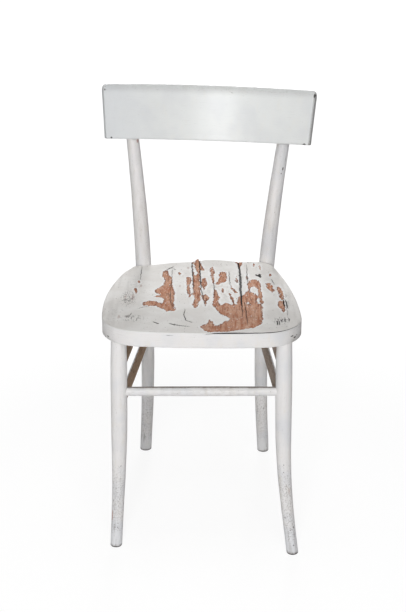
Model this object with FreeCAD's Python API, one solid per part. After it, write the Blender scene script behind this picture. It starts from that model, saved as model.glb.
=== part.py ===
import FreeCAD, Part
import math
import os

# An old painted kitchen chair: bent round legs, a thin plywood seat on a bent ring,
# round stretchers and a curved plywood back panel.
# Lengths are in millimetres and angles in degrees. +Z is up and the sitter faces -Y.
# Left and right are as seen from the front, so left is -X.
# The model is drawn about the middle of the seat and moved at the end, so that its
# origin lies on the floor under the middle of its bounding box.

Vector = FreeCAD.Vector
UP = Vector(0, 0, 1)
LEFT = -1
RIGHT = 1
SIDE_NAMES = {LEFT: "left", RIGHT: "right"}

# Seat outline: a front arc, two side arcs and a rear arc, joined by round corners.
# The bent ring isn't even: its left side is the rounder one and bulges further back.
seat_height = 458.0
seat_front = 213.0
seat_rear = 204.1
front_edge_radius = 1312.0
rear_edge_radius = 277.0
left_half_width = 197.0
left_widest = 62.0
left_edge_radius = 685.0
left_front_corner_radius = 82.6
left_rear_corner_radius = 60.0
right_half_width = 193.0
right_widest = 147.0
right_edge_radius = 1157.0
right_front_corner_radius = 81.0
right_rear_corner_radius = 39.4

# Seat panel and the bent ring under it
panel_thickness = 3.0
panel_edge_rounding = 2.4
ring_height = 28.6
ring_width = 32.0
ring_outer_rounding = 3.0
ring_inner_rounding = 2.0

# Front legs: turned bars that stand under the ring's front corners
front_leg_angle = -44.2
front_leg_radius = 16.4
front_leg_lean = 5.8
front_foot_bend_start = 240.0
front_foot_bend_end = 65.0
front_left_foot_kick = 39.2
front_right_foot_kick = 59.8
front_left_foot_splay = 4.3
front_right_foot_splay = 18.1
front_tenon_radius = 9.0
front_leg_radius_shares = (
    (0.0, 0.71), (0.06, 0.715), (0.12, 0.725), (0.21, 0.76), (0.31, 0.82), (0.42, 0.885),
    (0.52, 0.955), (0.63, 0.985), (0.76, 1.0), (0.89, 0.98), (1.0, 0.92),
)
wedge_depth = 20.0
wedge_top_width = 3.0
wedge_tip_width = 1.0

# Rear legs: each runs on above the seat as a back post
post_angle = 63.0
post_radius = 16.9
post_notch_depth = 3.6
post_behind_panel = 82.0
post_flare = 6.8
post_flare_start = 225.0
post_flare_end = 650.0
post_rake = 8.4
post_rake_start = 330.0
post_rake_end = 540.0
rear_foot_splay = 9.6
rear_foot_kick = 32.3
rear_foot_bend_start = 255.0
rear_foot_bend_end = 75.0
back_lean = 7.2
rear_leg_radius_shares = (
    (0.0, 0.77), (0.08, 0.785), (0.16, 0.81), (0.25, 0.835), (0.34, 0.87), (0.43, 0.93),
    (0.5, 0.98), (0.57, 1.0), (0.64, 0.975), (0.72, 0.925), (0.81, 0.86), (0.9, 0.805), (1.0, 0.75),
)
foot_rounding = 2.2
post_top_rounding = 5.0

# Stretchers: dowels with a swollen middle and a turned tenon at each end
cross_stretcher_drop = 106.4
cross_stretcher_tilt = 1.9
side_stretcher_spacing = 38.4
side_stretcher_rise = 11.2
cross_stretcher_radius = 9.3
side_stretcher_radius = 8.4
stretcher_end_share = 0.93
stretcher_tenon_radius = 6.0
stretcher_housing = 3.5
tenon_past_axis = 4.0
tenon_chamfer = 1.0
mortise_end_gap = 1.0

# Back panel: a plywood sheet bent about an upright axis in front of it
back_panel_bottom = 720.0
back_panel_height = 111.6
back_panel_crown = 4.0
back_panel_half_bottom = 219.7
back_panel_half_top = 229.0
back_panel_thickness = 11.0
back_panel_radius = 450.0
back_panel_rake = 10.4
back_panel_roll = 1.5
back_panel_corner_radius = 8.0
back_panel_edge_rounding = 3.0
back_notch_depth = 2.5

# Fasteners
fit_clearance = 0.25
bolt_radius = 3.0
bolt_head_radius = 8.0
bolt_head_height = 3.5
bolt_head_shares = ((1.0, 0.0), (1.0, 0.33), (0.7, 0.83), (0.35, 1.0), (0.0, 1.0))
bolt_point_share = 0.75
bolt_thread_past_nut = 2.0
nut_across_flats = 10.0
nut_height = 5.0
washer_radius = 8.0
washer_thickness = 1.5
spot_face_depth = 0.4
screw_radius = 2.25
screw_head_radius = 4.5
screw_head_height = 2.4
screw_in_panel = 8.0
screw_slot_width = 1.0
screw_slot_depth = 1.2
screw_point_share = 0.5
screw_height_shares = (0.27, 0.66)
nail_radius = 0.9
nail_head_radius = 1.8
nail_head_height = 1.0
nail_length = 14.0
nail_shares = (0.15, 0.5, 0.85)
cut_overrun = 5.0
match_tolerance = 0.02

# Sizes that follow from the ones above
ring_top = seat_height - panel_thickness
ring_bottom = ring_top - ring_height
bolt_height = ring_bottom + ring_height / 2
cross_stretcher_height = ring_bottom - cross_stretcher_drop
post_top_height = back_panel_bottom + post_behind_panel
front_foot_kick = {LEFT: front_left_foot_kick, RIGHT: front_right_foot_kick}
front_foot_splay = {LEFT: front_left_foot_splay, RIGHT: front_right_foot_splay}


def polar(angle):
    """Level unit vector at an angle in degrees from +X."""
    return Vector(math.cos(math.radians(angle)), math.sin(math.radians(angle)), 0)


def unit(vector):
    """Copy of a vector with length one."""
    return Vector(vector).normalize()


def mirrored(point):
    """The same point on the other side of the chair."""
    return Vector(-point.x, point.y, point.z)


def from_shares(shares, place):
    """Value at a place between 0 and 1 in a table of shares."""
    for (low, low_value), (high, high_value) in zip(shares, shares[1:]):
        if place <= high:
            return low_value + (high_value - low_value) * (place - low) / (high - low)
    return shares[-1][1]


def crossing(centre_a, radius_a, centre_b, radius_b, turn):
    """One of the two crossings of two level circles; turn is 1 or -1."""
    across = centre_b - centre_a
    distance = across.Length
    along = (radius_a ** 2 - radius_b ** 2 + distance ** 2) / (2 * distance)
    aside = math.sqrt(radius_a ** 2 - along ** 2)
    direction = unit(across)
    return centre_a + direction * along + Vector(-direction.y, direction.x, 0) * aside * turn


# Centres of the seat outline's front and rear arcs
front_centre = Vector(0, front_edge_radius - seat_front, 0)
rear_centre = Vector(0, seat_rear - rear_edge_radius, 0)


def half_outline(half_width, widest, edge_radius, front_radius, rear_radius):
    """Front corner, side and rear corner arc of a right-hand half of the seat outline.

    Each is its centre, its radius and the directions of its two ends.
    """
    side_centre = Vector(half_width - edge_radius, -widest, 0)
    front_corner = crossing(
        side_centre, edge_radius - front_radius, front_centre, front_edge_radius - front_radius, -1,
    )
    rear_corner = crossing(
        side_centre, edge_radius - rear_radius, rear_centre, rear_edge_radius - rear_radius, 1,
    )
    side_start = unit(front_corner - side_centre)
    side_end = unit(rear_corner - side_centre)
    return (
        (front_corner, front_radius, unit(front_corner - front_centre), side_start),
        (side_centre, edge_radius, side_start, side_end),
        (rear_corner, rear_radius, side_end, unit(rear_corner - rear_centre)),
    )


right_arcs = half_outline(
    right_half_width, right_widest, right_edge_radius,
    right_front_corner_radius, right_rear_corner_radius,
)
left_arcs = tuple(
    (mirrored(centre), radius, mirrored(first), mirrored(last))
    for centre, radius, first, last in half_outline(
        left_half_width, left_widest, left_edge_radius,
        left_front_corner_radius, left_rear_corner_radius,
    )
)
front_arc = (front_centre, front_edge_radius, left_arcs[0][2], right_arcs[0][2])
rear_arc = (rear_centre, rear_edge_radius, left_arcs[-1][3], right_arcs[-1][3])


def seat_outline(inset, height):
    """Closed wire of the seat's outline at a height, moved inwards by an inset."""
    edges = []
    for centre, radius, first, last in (*right_arcs, *left_arcs, front_arc, rear_arc):
        middle = centre + UP * height
        points = [middle + way * (radius - inset) for way in (first, unit(first + last), last)]
        edges.append(Part.Arc(*points).toShape())
    return Part.Wire(Part.__sortEdges__(edges))


def seat_block(inset, bottom, top):
    """Solid with the seat's outline between two heights."""
    return Part.Face(seat_outline(inset, bottom)).extrude(UP * (top - bottom))


def level_edges(solid, height):
    """Edges of a solid that lie level at a height."""
    return [
        edge for edge in solid.Edges
        if max(abs(edge.BoundBox.ZMin - height), abs(edge.BoundBox.ZMax - height)) < match_tolerance
    ]


def rod(radius, start, end):
    """Cylinder between two points."""
    return Part.makeCylinder(radius, (end - start).Length, start, end - start)


def turned(points, base, direction):
    """Solid of revolution from (radius, height) points, set up along a direction."""
    outline = [Vector(radius, 0, height) for radius, height in points]
    profile = Part.Face(Part.makePolygon(outline + outline[:1]))
    solid = profile.revolve(Vector(0, 0, 0), UP, 360)
    solid.Placement = FreeCAD.Placement(base, FreeCAD.Rotation(UP, direction))
    return solid


def rounded_cap(centre, radius, rounding, upwards):
    """Flat round disc whose outer edge is rounded, above or below its centre."""
    corner = Vector(radius - rounding, 0, 0)
    swing = polar(45) * rounding
    arc = Part.Arc(
        Vector(radius, 0, 0),
        corner + Vector(swing.x, 0, swing.y * upwards),
        Vector(radius - rounding, 0, rounding * upwards),
    )
    axis_end = Vector(0, 0, rounding * upwards)
    lines = (
        Part.LineSegment(Vector(radius - rounding, 0, rounding * upwards), axis_end),
        Part.LineSegment(axis_end, Vector(0, 0, 0)),
        Part.LineSegment(Vector(0, 0, 0), Vector(radius, 0, 0)),
    )
    wire = Part.Wire([arc.toShape()] + [line.toShape() for line in lines])
    solid = Part.Face(wire).revolve(Vector(0, 0, 0), UP, 360)
    solid.translate(centre)
    return solid


# Bent legs


def front_leg_top(side):
    """Middle of a front leg's top, set by the middle of the ring's right front corner."""
    corner, corner_radius = right_arcs[0][:2]
    point = corner + polar(front_leg_angle) * (corner_radius - ring_width / 2)
    return Vector(point.x * side, point.y, ring_bottom)


def bend_run(height, start, end):
    """Sideways run of a bar with unit slope, bent evenly from start to end and straight beyond."""
    way = math.copysign(1, end - start)
    span = abs(end - start)
    bent = min(max(0.0, (height - start) * way), span)
    beyond = max(0.0, (height - end) * way)
    return bent ** 2 / span / 2 + beyond


def foot_share(height, start, end):
    """Share of a foot's kick at a height: none above its bend and all of it on the floor."""
    return bend_run(height, start, end) / bend_run(0, start, end)


def front_leg_axis(side, height):
    """Middle of a front leg at a height: a slight lean, then a kick at the foot."""
    top = front_leg_top(side)
    kick = foot_share(height, front_foot_bend_start, front_foot_bend_end)
    outward = front_leg_lean * (1 - height / top.z) + front_foot_splay[side] * kick
    return Vector(top.x + outward * side, top.y - front_foot_kick[side] * kick, height)


def front_leg_girth(height):
    """Radius of a front leg at a height."""
    return front_leg_radius * from_shares(front_leg_radius_shares, height / ring_bottom)


def post_splay(height):
    """Distance of a rear leg outside its waist: it splays at the foot and flares above."""
    flare = bend_run(height, post_flare_start, post_flare_end)
    foot = rear_foot_splay * foot_share(height, rear_foot_bend_start, rear_foot_bend_end)
    return foot + math.tan(math.radians(post_flare)) * flare


def post_set_back(height):
    """Distance of a rear leg behind its straight stretch: a foot kick and a raked post."""
    rake = bend_run(height, post_rake_start, post_rake_end)
    foot = rear_foot_kick * foot_share(height, rear_foot_bend_start, rear_foot_bend_end)
    return foot + math.tan(math.radians(post_rake)) * rake


def post_shift(height):
    """Distance of both posts to the right of their even place: the back leans a little."""
    return back_lean * max(0.0, height - bolt_height) / (post_top_height - bolt_height)


def rear_leg_axis(side, height):
    """Middle of a rear leg at a height, held against the ring at the bolt's height."""
    hold = rear_edge_radius + post_radius - post_notch_depth
    seat_point = rear_centre + polar(post_angle) * hold
    outward = seat_point.x + post_splay(height) - post_splay(bolt_height)
    back = seat_point.y + post_set_back(height) - post_set_back(bolt_height)
    return Vector(outward * side + post_shift(height), back, height)


def rear_leg_girth(height):
    """Radius of a rear leg at a height."""
    return post_radius * from_shares(rear_leg_radius_shares, height / post_top_height)


def bent_bar(axis, girth, side, shares, bottom, top):
    """Round bar lofted through level circles along a bent axis."""
    rings = []
    for share, _ in shares:
        height = bottom + (top - bottom) * share
        rings.append(Part.Wire(Part.makeCircle(girth(height), axis(side, height), UP)))
    return Part.makeLoft(rings, True, False)


def front_leg_blank(side):
    """Front leg before its mortises, with a worn round foot and a tenon on top."""
    bar = bent_bar(
        front_leg_axis, front_leg_girth, side, front_leg_radius_shares, foot_rounding, ring_bottom,
    )
    foot = rounded_cap(
        front_leg_axis(side, foot_rounding), front_leg_girth(foot_rounding), foot_rounding, -1,
    )
    top = front_leg_top(side)
    tenon = rod(front_tenon_radius, top, top + UP * ring_height)
    return bar.fuse([foot, tenon]).removeSplitter()


def leg_wedge(side):
    """Wedge that spreads a front leg's tenon, set across the ring."""
    top = front_leg_top(side) + UP * ring_height
    half_top = wedge_top_width / 2
    half_tip = wedge_tip_width / 2
    reach = front_tenon_radius + cut_overrun
    section = [
        Vector(-half_top, -reach, 0), Vector(half_top, -reach, 0),
        Vector(half_tip, -reach, -wedge_depth), Vector(-half_tip, -reach, -wedge_depth),
    ]
    blade = Part.Face(Part.makePolygon(section + section[:1])).extrude(Vector(0, 2 * reach, 0))
    blade.rotate(Vector(0, 0, 0), UP, -front_leg_angle * -side)
    blade.translate(top)
    return blade.common(rod(front_tenon_radius, top - UP * ring_height, top))


def rear_leg_blank(side):
    """Rear leg and post before its notches and bores, rounded at both ends."""
    top = post_top_height - post_top_rounding
    bar = bent_bar(
        rear_leg_axis, rear_leg_girth, side, rear_leg_radius_shares, foot_rounding, top,
    )
    foot = rounded_cap(
        rear_leg_axis(side, foot_rounding), rear_leg_girth(foot_rounding), foot_rounding, -1,
    )
    head = rounded_cap(rear_leg_axis(side, top), rear_leg_girth(top), post_top_rounding, 1)
    return bar.fuse([foot, head]).removeSplitter()


# Stretchers


def stretcher(start, start_girth, end, end_girth, radius, gap):
    """Dowel between two leg axes; its body is housed in the legs and its tenons pass their axes.

    gap lengthens the tenons, which gives the tool that cuts the mortises.
    """
    length = (end - start).Length
    shoulder = start_girth - stretcher_housing
    far_shoulder = length - end_girth + stretcher_housing
    tip = -tenon_past_axis - gap
    far_tip = length - tip
    thin = stretcher_tenon_radius - tenon_chamfer
    body_end = radius * stretcher_end_share
    corners = [
        (0, tip), (thin, tip), (stretcher_tenon_radius, tip + tenon_chamfer),
        (stretcher_tenon_radius, shoulder), (body_end, shoulder),
    ]
    far_corners = [
        (body_end, far_shoulder), (stretcher_tenon_radius, far_shoulder),
        (stretcher_tenon_radius, far_tip - tenon_chamfer), (thin, far_tip), (0, far_tip),
    ]
    near = [Vector(across, 0, along) for across, along in corners]
    far = [Vector(across, 0, along) for across, along in far_corners]
    swell = Part.Arc(near[-1], Vector(radius, 0, (shoulder + far_shoulder) / 2), far[0])
    edges = Part.makePolygon(near).Edges + [swell.toShape()] + Part.makePolygon(far).Edges
    edges += Part.makePolygon([far[-1], near[0]]).Edges
    solid = Part.Face(Part.Wire(edges)).revolve(Vector(0, 0, 0), UP, 360)
    solid.Placement = FreeCAD.Placement(start, FreeCAD.Rotation(UP, end - start))
    return solid


def side_stretcher(side, step, gap):
    """Stretcher from a front leg to the rear leg behind it, above or below the front one."""
    front_height = cross_stretcher_height + side_stretcher_spacing * step
    rear_height = front_height + side_stretcher_rise
    return stretcher(
        front_leg_axis(side, front_height), front_leg_girth(front_height),
        rear_leg_axis(side, rear_height), rear_leg_girth(rear_height),
        side_stretcher_radius, gap,
    )


def front_stretcher(gap):
    """Stretcher between the front legs; its right end sits a little higher."""
    heights = [cross_stretcher_height + cross_stretcher_tilt * side for side in (LEFT, RIGHT)]
    left, right = [front_leg_axis(side, height) for side, height in zip((LEFT, RIGHT), heights)]
    girths = [front_leg_girth(height) for height in heights]
    return stretcher(left, girths[0], right, girths[1], cross_stretcher_radius, gap)


def rear_stretcher(gap):
    """Stretcher between the rear legs, half way between the side ones."""
    height = cross_stretcher_height + side_stretcher_rise
    left, right = [rear_leg_axis(side, height) for side in (LEFT, RIGHT)]
    girth = rear_leg_girth(height)
    return stretcher(left, girth, right, girth, cross_stretcher_radius, gap)


# Back panel


def back_panel_place():
    """Placement of the back panel: raked, rolled in its own plane and set on the posts."""
    middle = back_panel_height / 2
    rake = math.radians(back_panel_rake)
    height = back_panel_bottom + middle * math.cos(rake)
    shift = post_shift(height)
    post = rear_leg_axis(RIGHT, height) - Vector(shift, 0, 0)
    hold = back_panel_radius + back_panel_thickness + rear_leg_girth(height) - back_notch_depth
    depth = math.sqrt(hold ** 2 - post.x ** 2) - back_panel_radius
    set_back = post.y - (depth + middle * math.sin(rake)) / math.cos(rake)
    raked = FreeCAD.Placement(
        Vector(shift, set_back, back_panel_bottom),
        FreeCAD.Rotation(Vector(1, 0, 0), -back_panel_rake),
    )
    rolled = FreeCAD.Placement(UP * middle, FreeCAD.Rotation(Vector(0, 1, 0), back_panel_roll))
    return raked.multiply(rolled).multiply(FreeCAD.Placement(UP * -middle, FreeCAD.Rotation()))


def bent_slab(inner, outer, bottom, top):
    """Upright tube about the axis that the back panel is bent round."""
    foot = Vector(0, -back_panel_radius, bottom)
    whole = Part.makeCylinder(outer, top - bottom, foot)
    if inner > 0:
        whole = whole.cut(Part.makeCylinder(inner, top - bottom, foot))
    return whole


def back_panel_solid():
    """Back panel in its own place: bent, tapered to the bottom, crowned and rounded."""
    inner = back_panel_radius
    outer = back_panel_radius + back_panel_thickness
    reach = back_panel_half_top + cut_overrun
    crown_top = Vector(0, 0, back_panel_height + back_panel_crown)
    shoulder = Vector(back_panel_half_top, 0, back_panel_height)
    crown = Part.Arc(mirrored(shoulder), crown_top, shoulder)
    corners = (
        shoulder, Vector(back_panel_half_top, 0, 0), Vector(-back_panel_half_top, 0, 0),
        mirrored(shoulder),
    )
    front = Part.Wire([crown.toShape()] + Part.makePolygon(corners).Edges)
    blank = Part.Face(front).extrude(Vector(0, -reach, 0))
    blank = blank.fuse(Part.Face(front).extrude(Vector(0, back_panel_thickness, 0)))
    panel = bent_slab(inner, outer, 0, back_panel_height + back_panel_crown).common(blank)
    for side in (LEFT, RIGHT):
        panel = panel.common(end_keeper(side))
    upright = [edge for edge in panel.Edges if is_panel_corner(edge)]
    panel = panel.makeFillet(back_panel_corner_radius, upright)
    faces = [face for face in panel.Faces if is_bent_face(face)]
    rims = [edge for face in faces for edge in face.OuterWire.Edges]
    return panel.makeFillet(back_panel_edge_rounding, rims).removeSplitter()


def end_keeper(side):
    """Block that keeps what lies inside the panel's end, which is cut square to the bend."""
    low_angle = math.degrees(back_panel_half_bottom / back_panel_radius)
    high_angle = math.degrees(back_panel_half_top / back_panel_radius)
    axis = Vector(0, -back_panel_radius, 0)
    outward = polar(90 - (low_angle + high_angle) / 2)
    low = axis + polar(90 - low_angle) * back_panel_radius
    high = axis + polar(90 - high_angle) * back_panel_radius + UP * back_panel_height
    along = unit(high - low)
    inward = along.cross(outward)
    size = 2 * (back_panel_radius + back_panel_thickness)
    block = Part.makeBox(size, size, size, Vector(-size / 2, -size / 2, 0), UP)
    block.Placement = FreeCAD.Placement(low, FreeCAD.Rotation(UP, inward)).multiply(block.Placement)
    return block if side == RIGHT else block.mirror(Vector(0, 0, 0), Vector(1, 0, 0))


def is_panel_corner(edge):
    """Whether an edge crosses the back panel's thickness."""
    return abs(edge.Length - back_panel_thickness) < back_panel_thickness / 4


def is_bent_face(face):
    """Whether a face is the front or the back of the bent panel."""
    return face.Surface.TypeId == "Part::GeomCylinder" and face.Area > back_panel_height ** 2


def back_notch(place):
    """Tool that cuts the posts to the panel's back, from its bottom edge upwards."""
    outer = back_panel_radius + back_panel_thickness
    tool = bent_slab(0, outer, 0, back_panel_height + back_panel_crown)
    tool.Placement = place.multiply(tool.Placement)
    return tool


def panel_screws(side, place):
    """Axes of one post's screws: where each meets the panel's back, and its way outwards."""
    axes = []
    for share in screw_height_shares:
        local_height = back_panel_height * share
        post = rear_leg_axis(side, place.multVec(UP * local_height).z)
        local = place.inverse().multVec(post)
        axis = Vector(0, -back_panel_radius, local.z)
        outward = unit(local - axis)
        seat = axis + outward * (back_panel_radius + back_panel_thickness)
        head = seat + outward * ((local - seat).Length + rear_leg_girth(post.z))
        axes.append((place.multVec(seat), place.Rotation.multVec(outward), (head - seat).Length))
    return axes


def screw_outline(length, head_top):
    """Turned outline of a countersunk screw as (radius, height) points, up to its head's top."""
    point = screw_radius * screw_point_share
    shank = length - 2 * screw_head_height
    return [
        (0, 0), (point, 0), (screw_radius, screw_radius), (screw_radius, shank),
        (screw_head_radius, length - screw_head_height), (screw_head_radius, head_top), (0, head_top),
    ]


def panel_screw(seat, outward, reach):
    """Countersunk slotted screw from the back of a post into the panel."""
    length = reach + screw_in_panel
    base = seat - outward * screw_in_panel
    head_top = length - screw_slot_depth
    screw = turned(screw_outline(length, head_top), base, outward)
    slot = Part.makeBox(
        screw_slot_width, 2 * screw_head_radius, screw_slot_depth,
        Vector(-screw_slot_width / 2, -screw_head_radius, head_top - screw_slot_depth),
    )
    slot.Placement = FreeCAD.Placement(base, FreeCAD.Rotation(UP, outward)).multiply(slot.Placement)
    return screw.cut(slot)


def screw_bore(seat, outward, reach):
    """Tool for a screw's bore: tight on the screw, and open above its head."""
    length = reach + screw_in_panel
    outline = screw_outline(length, length + cut_overrun)
    return turned(outline, seat - outward * screw_in_panel, outward)


# Bolts between the posts and the ring


def bolt_axis(side):
    """Place where a bolt crosses its post's middle, and its way out towards the back."""
    post = rear_leg_axis(side, bolt_height)
    outward = unit(post - Vector(rear_centre.x, rear_centre.y, bolt_height))
    return post, outward


def bolt_places(side):
    """Distances along a bolt from the rear arc's centre: spot face, and seat of the head."""
    post, _ = bolt_axis(side)
    flat = rear_edge_radius - ring_width + spot_face_depth
    middle = (post - Vector(rear_centre.x, rear_centre.y, bolt_height)).Length
    return flat, middle + post_radius - bolt_head_height


def along_bolt(side, distance):
    """Point on a bolt's axis at a distance from the rear arc's centre."""
    _, outward = bolt_axis(side)
    return Vector(rear_centre.x, rear_centre.y, bolt_height) + outward * distance


def seat_bolt(side):
    """Round-headed bolt through a post and the ring."""
    flat, head_seat = bolt_places(side)
    _, outward = bolt_axis(side)
    end = flat - washer_thickness - nut_height - bolt_thread_past_nut
    shank = head_seat - end
    point = bolt_radius * bolt_point_share
    points = [(0, 0), (point, 0), (bolt_radius, bolt_radius - point), (bolt_radius, shank)]
    for radius_share, height_share in bolt_head_shares:
        points.append((bolt_head_radius * radius_share, shank + bolt_head_height * height_share))
    return turned(points, along_bolt(side, end), outward)


def bolt_bore(side):
    """Tool for a bolt's hole, its spot face inside the ring and the recess of its head."""
    flat, head_seat = bolt_places(side)
    hole = rod(
        bolt_radius + fit_clearance, along_bolt(side, flat - cut_overrun), along_bolt(side, head_seat),
    )
    face = rod(
        washer_radius + fit_clearance, along_bolt(side, flat - cut_overrun), along_bolt(side, flat),
    )
    recess = rod(
        bolt_head_radius + fit_clearance, along_bolt(side, head_seat),
        along_bolt(side, head_seat + bolt_head_height + cut_overrun),
    )
    return hole.fuse([face, recess])


def bolt_washer(side):
    """Washer that lies on the ring's inner spot face."""
    flat, _ = bolt_places(side)
    ends = along_bolt(side, flat - washer_thickness), along_bolt(side, flat)
    return rod(washer_radius, *ends).cut(rod(bolt_radius + fit_clearance, *ends))


def bolt_nut(side):
    """Hexagon nut on the bolt's inner end."""
    flat, _ = bolt_places(side)
    _, outward = bolt_axis(side)
    corner = nut_across_flats / 2 / math.cos(math.radians(30))
    points = [polar(60 * step) * corner for step in range(7)]
    nut = Part.Face(Part.makePolygon(points)).extrude(UP * nut_height)
    nut = nut.cut(Part.makeCylinder(bolt_radius, nut_height))
    base = along_bolt(side, flat - washer_thickness - nut_height)
    nut.Placement = FreeCAD.Placement(base, FreeCAD.Rotation(UP, outward))
    return nut


# Seat panel, its nails and the ring


def nail_places():
    """Points on the ring's middle line where the seat panel is nailed down."""
    foot = UP * (seat_height - nail_length)
    places = []
    for centre, radius, first, last in (front_arc, rear_arc, right_arcs[1], left_arcs[1]):
        for share in nail_shares:
            way = unit(first * (1 - share) + last * share)
            places.append(centre + way * (radius - ring_width / 2) + foot)
    return places


def nail(place):
    """Flat-headed nail, flush with the seat panel."""
    head = nail_length - nail_head_height
    points = [
        (0, 0), (nail_radius, nail_radius), (nail_radius, head), (nail_head_radius, head),
        (nail_head_radius, nail_length), (0, nail_length),
    ]
    return turned(points, place, UP)


def seat_panel(nails):
    """Thin plywood seat, flush with the ring, with a rounded upper edge."""
    panel = seat_block(0, ring_top, seat_height)
    panel = panel.makeFillet(panel_edge_rounding, level_edges(panel, seat_height))
    return panel.cut(nails)


def seat_ring(nails, bores):
    """Bent ring under the seat panel, bored for the front tenons and the bolts."""
    ring = seat_block(0, ring_bottom, ring_top)
    ring = ring.makeFillet(ring_outer_rounding, level_edges(ring, ring_bottom))
    hollow = seat_block(ring_width, ring_bottom - cut_overrun, ring_top + cut_overrun)
    ring = ring.cut(hollow)
    inner_wire = seat_outline(ring_width, ring_bottom)
    inner = [
        edge for edge in level_edges(ring, ring_bottom)
        if edge.distToShape(inner_wire)[0] < match_tolerance
    ]
    ring = ring.makeFillet(ring_inner_rounding, inner)
    for side in (LEFT, RIGHT):
        top = front_leg_top(side)
        ring = ring.cut(rod(front_tenon_radius, top, top + UP * ring_height))
    return ring.cut(nails + bores)


def build():
    """Every sub-part by its node name, about the middle of the seat."""
    parts = {}
    sides = (LEFT, RIGHT)
    steps = {"lower": -1, "upper": 1}
    nails = [nail(place) for place in nail_places()]
    bores = [bolt_bore(side) for side in sides]
    parts["seat_panel"] = seat_panel(nails)
    parts["seat_ring"] = seat_ring(nails, bores)

    place = back_panel_place()
    screws = [axis for side in sides for axis in panel_screws(side, place)]
    panel = back_panel_solid()
    panel.Placement = place.multiply(panel.Placement)
    screw_bores = [screw_bore(*axis) for axis in screws]
    parts["back_panel"] = panel.cut(screw_bores)

    front_tool = front_stretcher(mortise_end_gap)
    rear_tool = rear_stretcher(mortise_end_gap)
    seat_space = seat_block(0, ring_bottom, seat_height)
    notch = back_notch(place)
    for side in sides:
        name = SIDE_NAMES[side]
        side_tools = [side_stretcher(side, step, mortise_end_gap) for step in steps.values()]
        wedge = leg_wedge(side)
        front = front_leg_blank(side)
        parts[f"front_{name}_leg"] = front.cut([front_tool, wedge] + side_tools)
        rear = rear_leg_blank(side).cut([seat_space, notch, rear_tool] + side_tools)
        parts[f"rear_{name}_leg"] = rear.cut(bores + screw_bores)
        for level, step in steps.items():
            parts[f"{name}_{level}_stretcher"] = side_stretcher(side, step, 0)

    parts["front_stretcher"] = front_stretcher(0)
    parts["rear_stretcher"] = rear_stretcher(0)
    groups = {
        "front_leg_wedges": [leg_wedge(side) for side in sides],
        "back_panel_screws": [panel_screw(*axis) for axis in screws],
        "seat_bolts": [seat_bolt(side) for side in sides],
        "seat_bolt_washers": [bolt_washer(side) for side in sides],
        "seat_bolt_nuts": [bolt_nut(side) for side in sides],
        "seat_panel_nails": nails,
    }
    for name, solids in groups.items():
        parts[name] = Part.makeCompound(solids)
    return parts


def export(parts):
    """Move the chair to its origin and write one file per sub-part."""
    os.makedirs("parts", exist_ok=True)
    box = Part.makeCompound(list(parts.values())).optimalBoundingBox(False)
    to_origin = Vector(-box.Center.x, -box.Center.y, -box.ZMin)
    print("move to origin", to_origin, "size", box.XLength, box.YLength, box.ZLength)
    for name, shape in parts.items():
        moved = shape.copy()
        moved.translate(to_origin)
        moved.exportStep(f"parts/{name}.step")
        print(name, len(moved.Solids), "solid(s)", round(moved.Volume), moved.isValid())


export(build())
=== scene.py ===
"""The looks of an old painted kitchen chair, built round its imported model.

Lengths are in millimetres about the middle of the seat, with +Z up and the sitter facing -Y,
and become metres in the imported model's place when a mesh is made. Colours are written as
sRGB shares of 255. Left and right are as seen from the front, so left is -X.
"""

import logging
import math
from dataclasses import dataclass, field
from enum import Enum

import bpy
import numpy as np
from mathutils import Matrix, Vector


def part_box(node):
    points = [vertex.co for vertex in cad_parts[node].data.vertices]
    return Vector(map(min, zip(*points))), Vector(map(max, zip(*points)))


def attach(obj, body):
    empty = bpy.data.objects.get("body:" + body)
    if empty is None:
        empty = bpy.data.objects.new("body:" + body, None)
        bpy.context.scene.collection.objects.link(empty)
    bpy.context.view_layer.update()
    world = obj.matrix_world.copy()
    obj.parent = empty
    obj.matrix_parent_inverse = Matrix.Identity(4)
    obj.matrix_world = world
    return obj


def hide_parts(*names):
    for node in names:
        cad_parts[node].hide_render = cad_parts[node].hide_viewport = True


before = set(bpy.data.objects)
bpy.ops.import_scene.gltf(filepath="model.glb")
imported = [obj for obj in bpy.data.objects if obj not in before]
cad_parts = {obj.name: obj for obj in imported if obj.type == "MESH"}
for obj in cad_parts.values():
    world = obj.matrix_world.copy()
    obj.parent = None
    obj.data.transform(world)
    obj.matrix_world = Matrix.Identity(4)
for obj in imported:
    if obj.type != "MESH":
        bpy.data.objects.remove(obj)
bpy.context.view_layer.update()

LOG = logging.getLogger("chair")
MM = 0.001
# Signed distance that stands for every place well outside a mark
FAR = -9.0
Array = np.ndarray
Colour = tuple[float, float, float]
Factors = tuple[float, float, float]
Points = tuple[tuple[float, ...], ...]
Arc = tuple[Array, float, float, float]
Places = tuple[Array, Array, Array]
Material = bpy.types.Material
Sockets = dict[str, "Value | float"]


class Side(Enum):
    """The two sides of the chair as seen from the front."""

    LEFT = -1
    RIGHT = 1


class Slot(Enum):
    """Material slots of the record, passed with the new pieces but not given to them."""

    PAINTED_WOOD = "painted_wood"
    PAINTED_PLYWOOD = "painted_plywood"


class Layer(Enum):
    """Point attributes that the finishes read; distances are in mm, positive inside."""

    STRAIGHT = "straight"
    BARE = "bare"
    CHIP = "chip"
    COOL = "cool"
    CRACK = "crack"
    CRAZED = "crazed"
    # Dirt, and painted shade on the ring's corners, the back panel's top band and the feet's
    # bottoms
    GRIME = "grime"
    TINT = "tint"


# What OldPaint reads on a piece without chips and stains, and the steps of a rounded edge
UNMARKED = {Layer.CHIP: FAR, Layer.COOL: FAR}
QUARTER_TURN = np.linspace(0, math.pi / 2, 6)


# Small helpers


def linear(colour: Colour) -> tuple[float, float, float, float]:
    """Linear RGBA of an sRGB colour given in shares of 255.

    Args:
        colour: red, green and blue from 0 to 255.

    Returns:
        The same colour as a shader's socket takes it.
    """
    share = np.array(colour, float) / 255
    high = ((share + 0.055) / 1.055) ** 2.4
    return (*np.where(share <= 0.04045, share / 12.92, high).tolist(), 1.0)


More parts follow.
